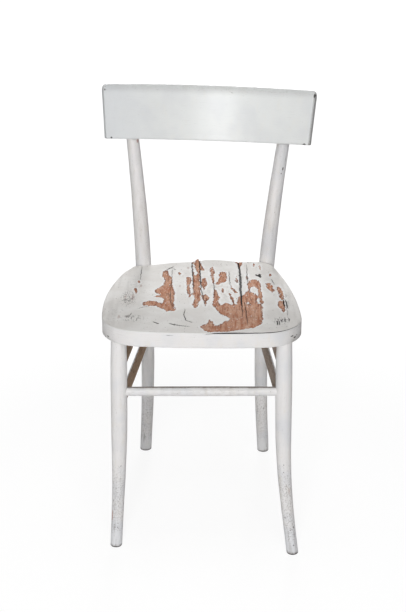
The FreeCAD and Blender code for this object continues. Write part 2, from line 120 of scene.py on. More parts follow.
def smooth(values: Array, low: float, high: float) -> Array:
    """Smooth step 3t^2 - 2t^3 from 0 at low to 1 at high, also with low above high.

    Args:
        values: where it is taken.
        low: value at which it leaves 0.
        high: value at which it reaches 1.

    Returns:
        The step at each value.
    """
    share = np.clip((np.asarray(values, float) - low) / (high - low), 0, 1)
    return share * share * (3 - 2 * share)


def blend(first: Array, second: Array, share: Array) -> Array:
    """Values that pass from the first to the second with a share from 0 to 1."""
    return first * (1 - share) + second * share


def lattice_noise(x: Array, y: Array, seed: int) -> Array:
    """Smooth noise between -1 and 1 with a wavelength of about two units.

    Seeded random values stand on a square lattice, and a smooth step blends the four round a point.

    Args:
        x: first coordinate.
        y: second coordinate.
        seed: seed of the lattice.

    Returns:
        The noise at each point.
    """
    size = 256
    table = np.random.default_rng(seed).uniform(-1, 1, (size, size))
    x, y = np.broadcast_arrays(x, y)
    column, row = np.floor(x).astype(int), np.floor(y).astype(int)
    across, along = smooth(x - column, 0, 1), smooth(y - row, 0, 1)
    near, far = (
        blend(table[level % size, column % size], table[level % size, (column + 1) % size], across)
        for level in (row, row + 1)
    )
    return blend(near, far, along)


def bend_run(height: Array, start: float, end: float) -> Array:
    """Sideways run of a bar with unit slope, bent evenly from start to end and straight beyond.

    Args:
        height: where it is taken.
        start: height at which the bend starts.
        end: height at which it ends.

    Returns:
        bent^2 / span / 2 + beyond, where bent is the run inside the bend.
    """
    way, span = math.copysign(1, end - start), abs(end - start)
    bent = np.clip((height - start) * way, 0, span)
    return bent**2 / span / 2 + np.maximum(0, (height - end) * way)


def read_curve(curve: Points, x: Array) -> Array:
    """Height of a broken line at x."""
    return np.interp(x, *np.array(curve).T)


def unit(angle: "Array | float") -> Array:
    """Unit vector at an angle, as x and y."""
    return np.stack([np.cos(angle), np.sin(angle)], -1)


def raised(plan: Array, z: Array) -> Array:
    """Points of a plan at their heights."""
    return np.stack(np.broadcast_arrays(plan[..., 0], plan[..., 1], z), -1)


def pushed_out(apart: Array, radius: float, where: Array) -> Array:
    """Points about a circle's middle, with those inside the circle moved out to it.

    Args:
        apart: way of each point from the middle.
        radius: the circle's radius.
        where: which points may be moved.

    Returns:
        The ways after the move.
    """
    distance = np.hypot(apart[..., 0], apart[..., 1])
    wanted = np.where(where, np.maximum(distance, radius), distance)
    return apart * (wanted / distance)[..., None]


def segment_reach(
    x: Array, y: Array, start: tuple[float, ...], end: tuple[float, ...]
) -> tuple[Array, Array]:
    """Nearest point of a straight stretch to each place.

    Args:
        x: first coordinate of the places.
        y: second coordinate of the places.
        start: the stretch's start; only x and y count.
        end: its end.

    Returns:
        Share of the way along the stretch, and the distance.
    """
    dx, dy = end[0] - start[0], end[1] - start[1]
    share = np.clip(((x - start[0]) * dx + (y - start[1]) * dy) / (dx * dx + dy * dy), 0, 1)
    return share, np.hypot(x - start[0] - share * dx, y - start[1] - share * dy)


def polygon_depth(x: Array, y: Array, corners: Points) -> Array:
    """Signed distance to a closed outline, positive inside.

    The sign comes from how often a level ray to the right crosses the outline.

    Args:
        x: first coordinate of the places.
        y: second coordinate of the places.
        corners: the outline's corners.

    Returns:
        The distance at each place.
    """
    nearest, inside = np.full(x.shape, np.inf), np.zeros(x.shape, bool)
    for start, end in zip(corners, corners[1:] + corners[:1]):
        nearest = np.minimum(nearest, segment_reach(x, y, start, end)[1])
        if start[1] != end[1]:
            slant = (y - start[1]) * (end[0] - start[0]) / (end[1] - start[1])
            inside ^= ((start[1] > y) != (end[1] > y)) & (x < start[0] + slant)
    return np.where(inside, nearest, -nearest)


def oval_depth(ovals: Points, x: Array, y: Array, scale: "Array | float" = 1.0) -> Array:
    """Signed distance into the nearest of some ovals, no less than FAR.

    Args:
        ovals: middle along x and y, and half size along x and y of each.
        x: first coordinate of the places.
        y: second coordinate of the places.
        scale: millimetres per unit of x.

    Returns:
        An oval's smaller half size times one less the scaled distance from its middle.
    """
    depth = np.full(np.broadcast(x, y).shape, FAR)
    for middle_x, middle_y, half_x, half_y in ovals:
        reach = np.hypot((x - middle_x) * scale / half_x, (y - middle_y) / half_y)
        depth = np.maximum(depth, min(half_x, half_y) * (1 - reach))
    return depth


# Meshes


def grid_quads(rows: int, columns: int, wrap: tuple[bool, bool]) -> Array:
    """Quads between the neighbours of a grid of points that are numbered row by row.

    Args:
        rows: number of rows.
        columns: number of points in a row.
        wrap: whether the last row and the last column join the first ones.

    Returns:
        One row of four point numbers per quad.
    """
    row = np.arange(rows if wrap[0] else rows - 1)[:, None]
    column = np.arange(columns if wrap[1] else columns - 1)
    near, far, after = row * columns, (row + 1) % rows * columns, (column + 1) % columns
    corners = near + column, near + after, far + after, far + column
    return np.stack(corners, -1).reshape(-1, 4)


@dataclass
class Surface:
    """Points and faces of one closed piece, with the values that its finish reads at each point."""

    points: Array
    quads: Array
    triangles: Array = field(default_factory=lambda: np.zeros((0, 3), int))
    layers: dict[Layer, Array] = field(default_factory=dict)

    def faces(self) -> list[list[int]]:
        """All quads and triangles as lists of point numbers."""
        return self.quads.tolist() + self.triangles.tolist()


def capped(values: Array) -> Array:
    """Values of the rows, with those of the two end fans' middles after them."""
    flat = values.reshape(-1, *values.shape[2:])
    return np.concatenate([flat, values[0].mean(0)[None], values[-1].mean(0)[None]])


def closed_tube(rows: Array, layers: "dict[Layer, Array | float]") -> Surface:
    """Closed surface from rows of points round a bar, with a fan at each end.

    Args:
        rows: points by row along the bar, by column round it counter-clockwise, by coordinate.
        layers: what the finish reads, at the rows' points or alike for many of them.

    Returns:
        The surface; its last two points are the middles of the first and last rows.
    """
    count, columns, _ = rows.shape
    column = np.arange(columns)
    after = (column + 1) % columns
    last, middle = (count - 1) * columns, np.full(columns, count * columns)
    first_fan = np.stack([after, column, middle], -1)
    last_fan = np.stack([last + column, last + after, middle + 1], -1)
    fans = np.concatenate([first_fan, last_fan])
    surface = Surface(capped(rows), grid_quads(count, columns, (False, True)), fans)
    for layer, values in layers.items():
        whole = np.ndim(values) == 3
        grid = values if whole else np.broadcast_to(np.asarray(values, float), (count, columns))
        surface.layers[layer] = capped(grid)
    return surface


@dataclass(frozen=True)
class Workshop:
    """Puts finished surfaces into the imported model's frame."""

    shift: tuple[float, float]
    body: str = "root"

    def moved(self, points: Array) -> Array:
        """Points of the seat-centred drawing in the frame, in metres."""
        return (points + np.array([*self.shift, 0.0])) * MM

    def piece(
        self, name: str, surface: Surface, material: Material, slot: Slot, nodes: tuple[str, ...]
    ) -> None:
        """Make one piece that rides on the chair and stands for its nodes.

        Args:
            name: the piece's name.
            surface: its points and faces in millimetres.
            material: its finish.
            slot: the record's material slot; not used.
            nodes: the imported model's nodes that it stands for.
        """
        mesh = bpy.data.meshes.new(name)
        mesh.from_pydata(self.moved(surface.points).tolist(), [], surface.faces())
        mesh.polygons.foreach_set("use_smooth", np.ones(len(mesh.polygons), bool))
        for layer, values in surface.layers.items():
            kind, key = ("FLOAT_VECTOR", "vector") if values.ndim == 2 else ("FLOAT", "value")
            attribute = mesh.attributes.new(layer.value, kind, "POINT")
            attribute.data.foreach_set(key, values.astype(np.float32).ravel())
        mesh.materials.append(material)
        mesh.update()
        piece = placed(name, mesh)
        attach(piece, self.body)
        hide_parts(*nodes)
        LOG.info("%s: %d points, %d faces", name, len(mesh.vertices), len(mesh.polygons))


def placed(name: str, data: bpy.types.ID) -> bpy.types.Object:
    """Add an object to the scene.

    Args:
        name: its name.
        data: its mesh, lamp or camera.

    Returns:
        The new object.
    """
    made = bpy.data.objects.new(name, data)
    bpy.context.scene.collection.objects.link(made)
    return made


# Shader maths


class Value:
    """A socket of a node tree; its operators add the nodes that work them out."""

    def __init__(self, nodes: "NodeTree", socket: bpy.types.NodeSocket) -> None:
        """Wrap a socket of a node tree."""
        self.nodes = nodes
        self.socket = socket

    def maths(self, operation: str, *terms: "Value | float") -> "Value":
        """Result of one Math node."""
        settings = {"operation": operation}
        return self.nodes.add("ShaderNodeMath", "Value", settings, dict(enumerate(terms)))

    def __add__(self, other: "Value | float") -> "Value":
        """Sum."""
        return self.maths("ADD", self, other)

    def __mul__(self, other: "Value | float") -> "Value":
        """Product."""
        return self.maths("MULTIPLY", self, other)

    def __sub__(self, other: "Value | float") -> "Value":
        """Difference."""
        return self.maths("SUBTRACT", self, other)

    def __rsub__(self, other: "Value | float") -> "Value":
        """Difference from another value."""
        return self.maths("SUBTRACT", other, self)

    __radd__ = __add__
    __rmul__ = __mul__

    def greater(self, other: "Value | float") -> "Value":
        """The larger of two values."""
        return self.maths("MAXIMUM", self, other)

    def step(self, low: float, high: float) -> "Value":
        """Smooth step from 0 at low to 1 at high, also with low above high.

        Args:
            low: value at which it leaves 0.
            high: value at which it reaches 1.

        Returns:
            The step of this value.
        """
        settings = {"interpolation_type": "SMOOTHSTEP", "clamp": True}
        inputs = {"Value": self, "From Min": low, "From Max": high}
        return self.nodes.add("ShaderNodeMapRange", "Result", settings, inputs)

    def scaled(self, ways: Factors) -> "Value":
        """This vector with each part multiplied by a number of its own."""
        return self.nodes.vector("MULTIPLY", {0: self, 1: ways})

    def tinted(self, amount: "Value | float") -> "Value":
        """This colour or vector multiplied by one value."""
        return self.nodes.vector("SCALE", {0: self, "Scale": amount})

    def coated(self, *coats: "tuple[Value | Colour, Value | float]") -> "Value":
        """This colour under coats of other ones.

        Args:
            *coats: colour and share of each coat, from below.

        Returns:
            The colour of them all.
        """
        colour = self
        for other, share in coats:
            colour = self.nodes.mix(colour, other, share)
        return colour


class NodeTree:
    """A node tree whose nodes all come from one method."""

    def __init__(self, tree: bpy.types.NodeTree) -> None:
        """Start with an empty tree."""
        self.tree = tree
        self.tree.nodes.clear()

    def add(
        self, kind: str, output: "str | int | None", settings: dict[str, object], inputs: dict
    ) -> "Value | None":
        """Add one node.

        Args:
            kind: the node's type.
            output: name, identifier or number of the output to return, or None without one.
            settings: its settings, which are set first.
            inputs: number, name or identifier of each socket, and its value or link.

        Returns:
            The chosen output as a value.
        """
        node = self.tree.nodes.new(kind)
        for key, setting in settings.items():
            setattr(node, key, setting)
        for key, given in inputs.items():
            socket = self.find(node.inputs, key)
            if isinstance(given, Value):
                self.tree.links.new(given.socket, socket)
            else:
                socket.default_value = given
        return None if output is None else Value(self, self.find(node.outputs, output))

    @staticmethod
    def find(sockets: bpy.types.bpy_prop_collection, key: "str | int") -> bpy.types.NodeSocket:
        """The socket of a node by its number, identifier or name.

        Args:
            sockets: the node's inputs or outputs.
            key: what it is found by.

        Returns:
            The socket.
        """
        if isinstance(key, int):
            return sockets[key]
        by_identifier = [socket for socket in sockets if socket.identifier == key]
        return (by_identifier or [socket for socket in sockets if socket.name == key])[0]

    def vector(self, operation: str, inputs: dict, output: str = "Vector") -> Value:
        """Result of one Vector Math node."""
        return self.add("ShaderNodeVectorMath", output, {"operation": operation}, inputs)

    def mix(
        self, first: "Value | Colour", second: "Value | Colour", share: "Value | float"
    ) -> Value:
        """One colour mixed with another by a share.

        Args:
            first: the colour at share 0.
            second: the colour at share 1.
            share: the second one's share.

        Returns:
            The mixed colour.
        """
        first, second = [c if isinstance(c, Value) else linear(c) for c in (first, second)]
        inputs = {"Factor_Float": share, "A_Color": first, "B_Color": second}
        return self.add("ShaderNodeMix", "Result_Color", {"data_type": "RGBA"}, inputs)


class FinishNodes(NodeTree):
    """Node tree of one finish, ending in a shader."""

    def __init__(self, name: str) -> None:
        """Start an empty material.

        Args:
            name: its name.
        """
        self.material = bpy.data.materials.new(name)
        self.material.use_nodes = True
        super().__init__(self.material.node_tree)

    def layer(self, layer: Layer, output: str = "Fac") -> Value:
        """A value that the mesh carries at its points."""
        settings = {"attribute_name": layer.value, "attribute_type": "GEOMETRY"}
        return self.add("ShaderNodeAttribute", output, settings, {})

    def place(self) -> Value:
        """Object coordinates in millimetres."""
        return self.add("ShaderNodeTexCoord", "Object", {}, {}).tinted(1 / MM)

    def noise(
        self, where: Value, size: float, detail: float = 2.0, rough: float = 0.5,
        squeeze: "Factors | None" = None,
    ) -> Value:
        """Noise between 0 and 1.

        Args:
            where: where it is taken.
            size: size of its features in the units of its place.
            detail: number of finer layers.
            rough: strength of each layer beside the one before.
            squeeze: factor on each coordinate; a small one draws the features out.

        Returns:
            The noise.
        """
        place = where.scaled(squeeze) if squeeze else where
        inputs = {"Vector": place, "Scale": 1 / size, "Detail": detail, "Roughness": rough}
        return self.add("ShaderNodeTexNoise", "Fac", {}, inputs)

    def cells(self, where: Value, size: float) -> Value:
        """Distance to the nearest border of irregular cells, in shares of a cell's size."""
        inputs = {"Vector": where, "Scale": 1 / size}
        return self.add("ShaderNodeTexVoronoi", "Distance", {"feature": "DISTANCE_TO_EDGE"}, inputs)

    def bump(self, height: Value, distance: float) -> Value:
        """Normal of a fine relief whose height of 1 stands for a distance in millimetres."""
        inputs = {"Height": height, "Distance": distance * MM, "Strength": 1.0}
        return self.add("ShaderNodeBump", "Normal", {}, inputs)

    def shown(self, shader: Value) -> Material:
        """The material with a shader as its surface."""
        self.add("ShaderNodeOutputMaterial", None, {}, {"Surface": shader})
        return self.material


# Finishes


@dataclass(frozen=True)
class Finish:
    """What all finishes share: a name, and a material made from what its sockets get."""

    name: str

    def sockets(self, nodes: FinishNodes) -> Sockets:
        """Value or link of each socket of the Principled shader."""
        raise NotImplementedError

    def material(self) -> Material:
        """The finish as a material."""
        nodes = FinishNodes(self.name)
        return nodes.shown(nodes.add("ShaderNodeBsdfPrincipled", "BSDF", {}, self.sockets(nodes)))


@dataclass(frozen=True)
class OldPaint(Finish):
    """Old white paint on the bars, ring and back panel: brushed, dirty, chipped and yellowed."""

    white: Colour = (229, 227, 226)
    cool: Colour = (217, 218, 221)
    warm: Colour = (227, 222, 215)
    blue: Colour = (212, 216, 223)
    dirt: Colour = (118, 111, 104)
    wood: Colour = (133, 106, 86)
    wood_dark: Colour = (84, 66, 54)
    dust: Colour = (168, 158, 148)
    dark: Colour = (52, 46, 44)
    pink: Colour = (176, 128, 118)
    rough: float = 0.36
    shine: float = 0.2
    brush_squeeze: Factors = (1, 1, 1 / 60)
    scratch_squeeze: Factors = (1, 1, 1 / 40)
    brush_depth: float = 1.0
    film: float = 0.35
    film_cover: float = 0.6
    # How much the grime layer darkens the colour: dirt, and painted shade on the back panel's top
    # band
    dirt_and_painted_shade: float = 0.0
    wear_edge: float = 0.15
    wear_cover: float = 1.0

    def sockets(self, nodes: FinishNodes) -> Sockets:
        """Mottled paint with brush marks along the piece, specks of dirt, chips and bare wood.

        Args:
            nodes: the finish's nodes.

        Returns:
            What the shader's sockets get.
        """
        along, place = nodes.layer(Layer.STRAIGHT, "Vector"), nodes.place()
        grime = nodes.layer(Layer.GRIME)
        broad = nodes.noise(place, 55)
        patches = nodes.noise(place, 14, 4, 0.6, (1, 1, 0.4))
        brush = nodes.noise(along, 1.6, 3, 0.6, self.brush_squeeze)
        strokes = (brush - 0.5) * self.brush_depth
        fine = nodes.noise(place, 1.7, 2, 0.7)
        scratches = nodes.noise(along, 0.8, 2, 0.5, self.scratch_squeeze).step(0.64, 0.7)
        ragged = nodes.noise(along, 1.3, 4, 0.7, (1, 1, 0.3)) - 0.5
        grain = nodes.noise(along, 0.9, 4, 0.65, (1, 1, 0.06))
        dusty = nodes.noise(place, 2.6, 4, 0.75).step(0.5, 0.75)

        film = (grime * (patches * 1.2 + 0.2)).step(0.05, 1.1)
        dots = (fine + grime * 0.17 + nodes.layer(Layer.CRAZED) * 0.115).step(0.71, 0.77)
        worn = nodes.layer(Layer.BARE) + ragged * (2.6 + 6 * self.wear_edge)
        bare = worn.step(-self.wear_edge, self.wear_edge) * self.wear_cover
        chip = (nodes.layer(Layer.CHIP) + ragged * 1.2).step(-0.2, 0.2)
        pink = (nodes.layer(Layer.COOL) + ragged * 1.6).step(-0.4, 0.5)
        wood = nodes.mix(self.wood, self.wood_dark, grain.step(0.42, 0.72))
        paint = nodes.mix(self.white, self.cool, broad.step(0.42, 0.7) * 0.7).coated(
            (self.warm, patches.step(0.52, 0.78) * 0.7),
            # A bluish tint where the tint layer says; on the back panel's left part it is painted
            # shade
            (self.blue, nodes.layer(Layer.TINT) * (patches + 0.3)),
        )
        dirty = paint.tinted(0.985 + strokes * 0.06).coated((self.dirt, film * self.film_cover))
        # Darkening by the grime layer; on the back panel's top band it is painted shade
        colour = dirty.tinted(1 - grime * self.dirt_and_painted_shade).coated(
            (self.dirt, scratches * (grime + 0.2) * 0.5),
            (self.dirt, dots * 0.75),
            (wood.coated((self.dust, dusty * 0.6)), bare),
            (self.dark, chip * 0.9),
            (self.pink, pink * 0.7),
        )
        relief = brush * 0.1 * self.brush_depth - bare - chip + broad * 0.2
        return {
            "Base Color": colour,
            "Roughness": self.rough + bare * 0.35 + grime * 0.15 + strokes * 0.1,
            "Specular IOR Level": self.shine,
            "Normal": nodes.bump(relief, self.film),
        }


@dataclass(frozen=True)
class SeatPaint(Finish):
    """Worn paint on the plywood seat: flaked off in patches down to reddish wood, and crazed."""

    paint: Colour = (229, 226, 222)
    pale: Colour = (238, 236, 233)
    edge_white: Colour = (244, 243, 242)
    dirt: Colour = (132, 124, 117)
    hair_dark: Colour = (78, 68, 64)
    stain: Colour = (166, 132, 122)
    wood: Colour = (205, 156, 129)
    wood_red: Colour = (180, 118, 88)
    wood_dark: Colour = (104, 58, 40)
    wood_pale: Colour = (222, 188, 166)
    crack: Colour = (22, 16, 15)
    rough: float = 0.6
    shine: float = 0.15
    film: float = 0.4
    # Share by which the seat's colour darkens towards the front: painted shade
    front_painted_shade: float = 0.18

    def wood_colour(self, nodes: FinishNodes, place: Value, depth: Value, streaks: Value) -> Value:
        """Bare wood: dark by the paint's edge, streaked along its grain, with scraps of paint.

        Args:
            nodes: the finish's nodes.
            place: where it is taken, in millimetres.
            depth: distance into the bare patch.
            streaks: noise along the grain.

        Returns:
            The colour.
        """
        cloud = nodes.noise(place, 7, 4, 0.65, (1, 0.4, 1))
        lines = nodes.noise(place, 3.2, 3, 0.65, (1, 1 / 9, 1))
        bands = nodes.noise(place, 11, 2, 0.5, (1 / 8, 1, 1))
        pores = nodes.noise(place, 1, 2, 0.5, (1, 1 / 5, 1)).step(0.62, 0.72)
        scraps = nodes.noise(place, 3.6, 3, 0.7, (1, 0.35, 1)) - depth * 0.006
        grained = self.backward(nodes, place).step(-150, -60) * 0.7 + 0.3
        return nodes.mix(self.wood, self.wood_red, streaks.step(0.44, 0.62)).coated(
            (self.wood_pale, cloud.step(0.5, 0.68) * 0.6),
            (self.wood_dark, bands.step(0.45, 0.7) * (1 - grained) * 0.25),
            (self.wood_dark, lines.step(0.55, 0.63) * grained * 0.7),
            (self.wood_dark, pores * 0.3),
            (self.wood_dark, depth.step(4.4, 0.4) * lines.step(0.38, 0.58) * 0.85),
            (self.edge_white, scraps.step(0.585, 0.63) * 0.85),
        )

    @staticmethod
    def backward(nodes: FinishNodes, place: Value) -> Value:
        """How far behind the frame's middle a place lies."""
        return nodes.add("ShaderNodeSeparateXYZ", "Y", {}, {0: place})

    def sockets(self, nodes: FinishNodes) -> Sockets:
        """Paint, bare wood with its grain from front to back, and dark cracks.

        Args:
            nodes: the finish's nodes.

        Returns:
            What the shader's sockets get.
        """
        place, grime = nodes.place(), nodes.layer(Layer.GRIME)
        broad = nodes.noise(place, 45, 3)
        fine = nodes.noise(place, 3.2, 4, 0.7, (1, 0.5, 1))
        streaks = nodes.noise(place, 4.5, 4, 0.6, (1, 1 / 10, 1))
        ragged = nodes.noise(place, 2.6, 5, 0.75, (1, 1 / 3, 1)) - 0.5
        torn = nodes.noise(place, 7, 3, 0.6, (1, 1 / 4, 1)) - 0.5
        specks = nodes.noise(place, 3.4, 2, 0.6, (1, 0.4, 1)) + grime * 0.04
        spots = nodes.noise(place, 4, 3, 0.7, (1, 0.5, 1)).step(0.45, 0.55)
        net = nodes.cells(place.scaled((1, 0.25, 1)), 4.5).step(0.13, 0.04)

        depth = nodes.layer(Layer.BARE) + ragged * 9 + torn * 9
        bare = depth.step(-0.25, 0.25)
        stain = (nodes.layer(Layer.COOL) + ragged * 5).step(-1.2, 1.8)
        crazed = nodes.layer(Layer.CRAZED).step(0.1, 0.9)
        gape = (nodes.layer(Layer.CRACK) + ragged * 0.9).step(-0.3, 0.3)
        clean = nodes.mix(self.paint, self.pale, broad.step(0.38, 0.66)).tinted(0.94 + fine * 0.1)
        colour = clean.coated(
            (self.dirt, (grime * (fine * 1.4 + 0.1)).step(0.1, 1.0) * 0.6),
            (self.dirt, specks.step(0.67, 0.72) * 0.5),
            (self.stain, stain * 0.5),
            (self.hair_dark, net * spots * crazed * 0.8),
            (self.edge_white, nodes.layer(Layer.TINT) * (1 - stain)),
            (self.wood_colour(nodes, place, depth, streaks), bare),
            (self.crack, gape),
        )
        # Painted shade: the whole colour darkens towards the front of the seat
        front = self.backward(nodes, place).step(20, -150)
        return {
            "Base Color": colour.tinted(1 - front * self.front_painted_shade),
            "Roughness": self.rough + bare * 0.2,
            "Specular IOR Level": self.shine,
            "Normal": nodes.bump(fine * 0.12 - bare * (1 + streaks * 0.25) - gape, self.film),
        }


@dataclass(frozen=True)
class PlainWood(Finish):
    """Bare dry wood of the wedges."""

    wood: Colour = (172, 128, 98)
    dark: Colour = (122, 84, 62)

    def sockets(self, nodes: FinishNodes) -> Sockets:
        """Wood with a streaked grain.

        Args:
            nodes: the finish's nodes.

        Returns:
            What the shader's sockets get.
        """
        streaks = nodes.noise(nodes.place(), 1.2, 4, 0.6, (1, 1, 0.1))
        return {
            "Base Color": nodes.mix(self.wood, self.dark, streaks.step(0.4, 0.75)),
            "Roughness": 0.6 + streaks * 0.3,
            "Normal": nodes.bump(streaks, 0.2),
        }


@dataclass(frozen=True)
class DullSteel(Finish):
    """Dull fasteners with rust in places."""

    steel: Colour = (150, 148, 146)
    rust: Colour = (112, 70, 46)

    def sockets(self, nodes: FinishNodes) -> Sockets:
        """Scratched grey metal with rust spots.

        Args:
            nodes: the finish's nodes.

        Returns:
            What the shader's sockets get.
        """
        spots = nodes.noise(nodes.place(), 2.2, 4, 0.7).step(0.52, 0.66)
        scratches = nodes.noise(nodes.place(), 0.5, 2, 0.5, (1, 0.1, 1))
        return {
            "Base Color": nodes.mix(self.steel, self.rust, spots * 0.8),
            "Metallic": 1 - spots * 0.8,
            "Roughness": 0.35 + scratches * 0.25 + spots * 0.3,
            "Normal": nodes.bump(spots * 0.6 + scratches * 0.2, 0.1),
        }


# Seat outline


@dataclass(frozen=True)
class HalfOutline:
    """Sizes of one half of the seat's outline, drawn as the right-hand one."""

    half_width: float
    widest: float
    side_radius: float
    front_corner_radius: float
    rear_corner_radius: float


@dataclass
class SeatOutline:
    """Outline of the seat: front and rear arcs, and on each side an arc between round corners."""

    front: float = 213.0
    rear: float = 204.1
    front_radius: float = 1312.0
    rear_radius: float = 277.0
    left: HalfOutline = HalfOutline(197.0, 62.0, 685.0, 82.6, 60.0)
    right: HalfOutline = HalfOutline(193.0, 147.0, 1157.0, 81.0, 39.4)

    def __post_init__(self) -> None:
        """Work out the four sides' arcs, counter-clockwise from the front left corner's middle."""
        self.front_middle = np.array([0, self.front_radius - self.front])
        self.rear_middle = np.array([0, self.rear - self.rear_radius])
        half, flip = self.half_arcs(self.right), np.array([-1, 1])
        other = [
            (middle * flip, radius, math.pi - last, math.pi - first)
            for middle, radius, first, last in self.half_arcs(self.left)[::-1]
        ]
        self.front_corner = half[1][0]
        self.sides = other[5:] + half[:2], half[2:5], half[5:] + other[:2], other[2:5]

    def half_arcs(self, sizes: HalfOutline) -> list[Arc]:
        """Arcs of one half, from the front's middle to the rear's, with the corners' arcs in two.

        Args:
            sizes: the half's sizes.

        Returns:
            Middle, radius, first and last angle of each arc on the right-hand side.
        """
        side_middle = np.array([sizes.half_width - sizes.side_radius, -sizes.widest])
        front, side = (self.front_middle, self.front_radius), (side_middle, sizes.side_radius)
        rear = self.rear_middle, self.rear_radius
        arcs, start = [], -math.pi / 2
        for before, after, radius in (
            (front, side, sizes.front_corner_radius), (side, rear, sizes.rear_corner_radius)
        ):
            corner = self.crossing(before[0], before[1] - radius, after[0], after[1] - radius)
            first, last = self.heading(before[0], corner), self.heading(after[0], corner)
            arcs.append((*before, start, first))
            half = (first + last) / 2
            arcs += [(corner, radius, first, half), (corner, radius, half, last)]
            start = last
        return [*arcs, (*rear, start, math.pi / 2)]

    @staticmethod
    def heading(start: Array, end: Array) -> float:
        """Angle of the way from one point to another."""
        return math.atan2(end[1] - start[1], end[0] - start[0])

    @staticmethod
    def crossing(a: Array, radius_a: float, b: Array, radius_b: float) -> Array:
        """The crossing of two circles to the left of the way from one's middle to the other's.

        Args:
            a: middle of the first circle.
            radius_a: its radius.
            b: middle of the second circle.
            radius_b: its radius.

        Returns:
            The crossing.
        """
        distance = math.hypot(*(b - a))
        along = (radius_a**2 - radius_b**2 + distance**2) / (2 * distance)
        aside = math.sqrt(radius_a**2 - along**2)
        way = (b - a) / distance
        return a + way * along + np.array([-way[1], way[0]]) * aside

    def side(self, arcs: list[Arc], count: int) -> Places:
        """Evenly spaced places on one of the four sides.

        Args:
            arcs: the side's arcs as (middle, radius, first angle, last angle).
            count: number of places, both ends among them.

        Returns:
            Middle, radius and outward direction of the arc at each place.
        """
        middle, radius, first, last = (np.array(values) for values in zip(*arcs))
        ends = np.concatenate([[0], np.cumsum(radius * (last - first))])
        run = np.linspace(0, ends[-1], count)
        piece = np.clip(np.searchsorted(ends, run, "right") - 1, 0, len(arcs) - 1)
        angle = first[piece] + (run - ends[piece]) / radius[piece]
        return middle[piece], radius[piece], unit(angle)

    def loop(self, counts: tuple[int, int]) -> Places:
        """Places round the whole outline, counter-clockwise from the front left corner.

        Args:
            counts: places on the front and rear sides, and on the left and right ones.

        Returns:
            Middle, radius and outward direction of the arc at each place.
        """
        parts = [self.side(arcs, counts[number % 2]) for number, arcs in enumerate(self.sides)]
        return tuple(np.concatenate([side[:-1] for side in values]) for values in zip(*parts))

    @staticmethod
    def at(places: Places, inset: "Array | float") -> Array:
        """Points at some places of the outline, moved inwards by an inset."""
        middle, radius, way = places
        return middle + way * (radius - inset)[:, None]

    def front_gap(self, x: Array, y: Array) -> Array:
        """Distance inside the front arc."""
        return self.front_radius - np.hypot(x, y - self.front_middle[1])

    def rear_gap(self, x: Array, y: Array) -> Array:
        """Distance inside the rear arc."""
        return self.rear_radius - np.hypot(x, y - self.rear_middle[1])


# Seat panel


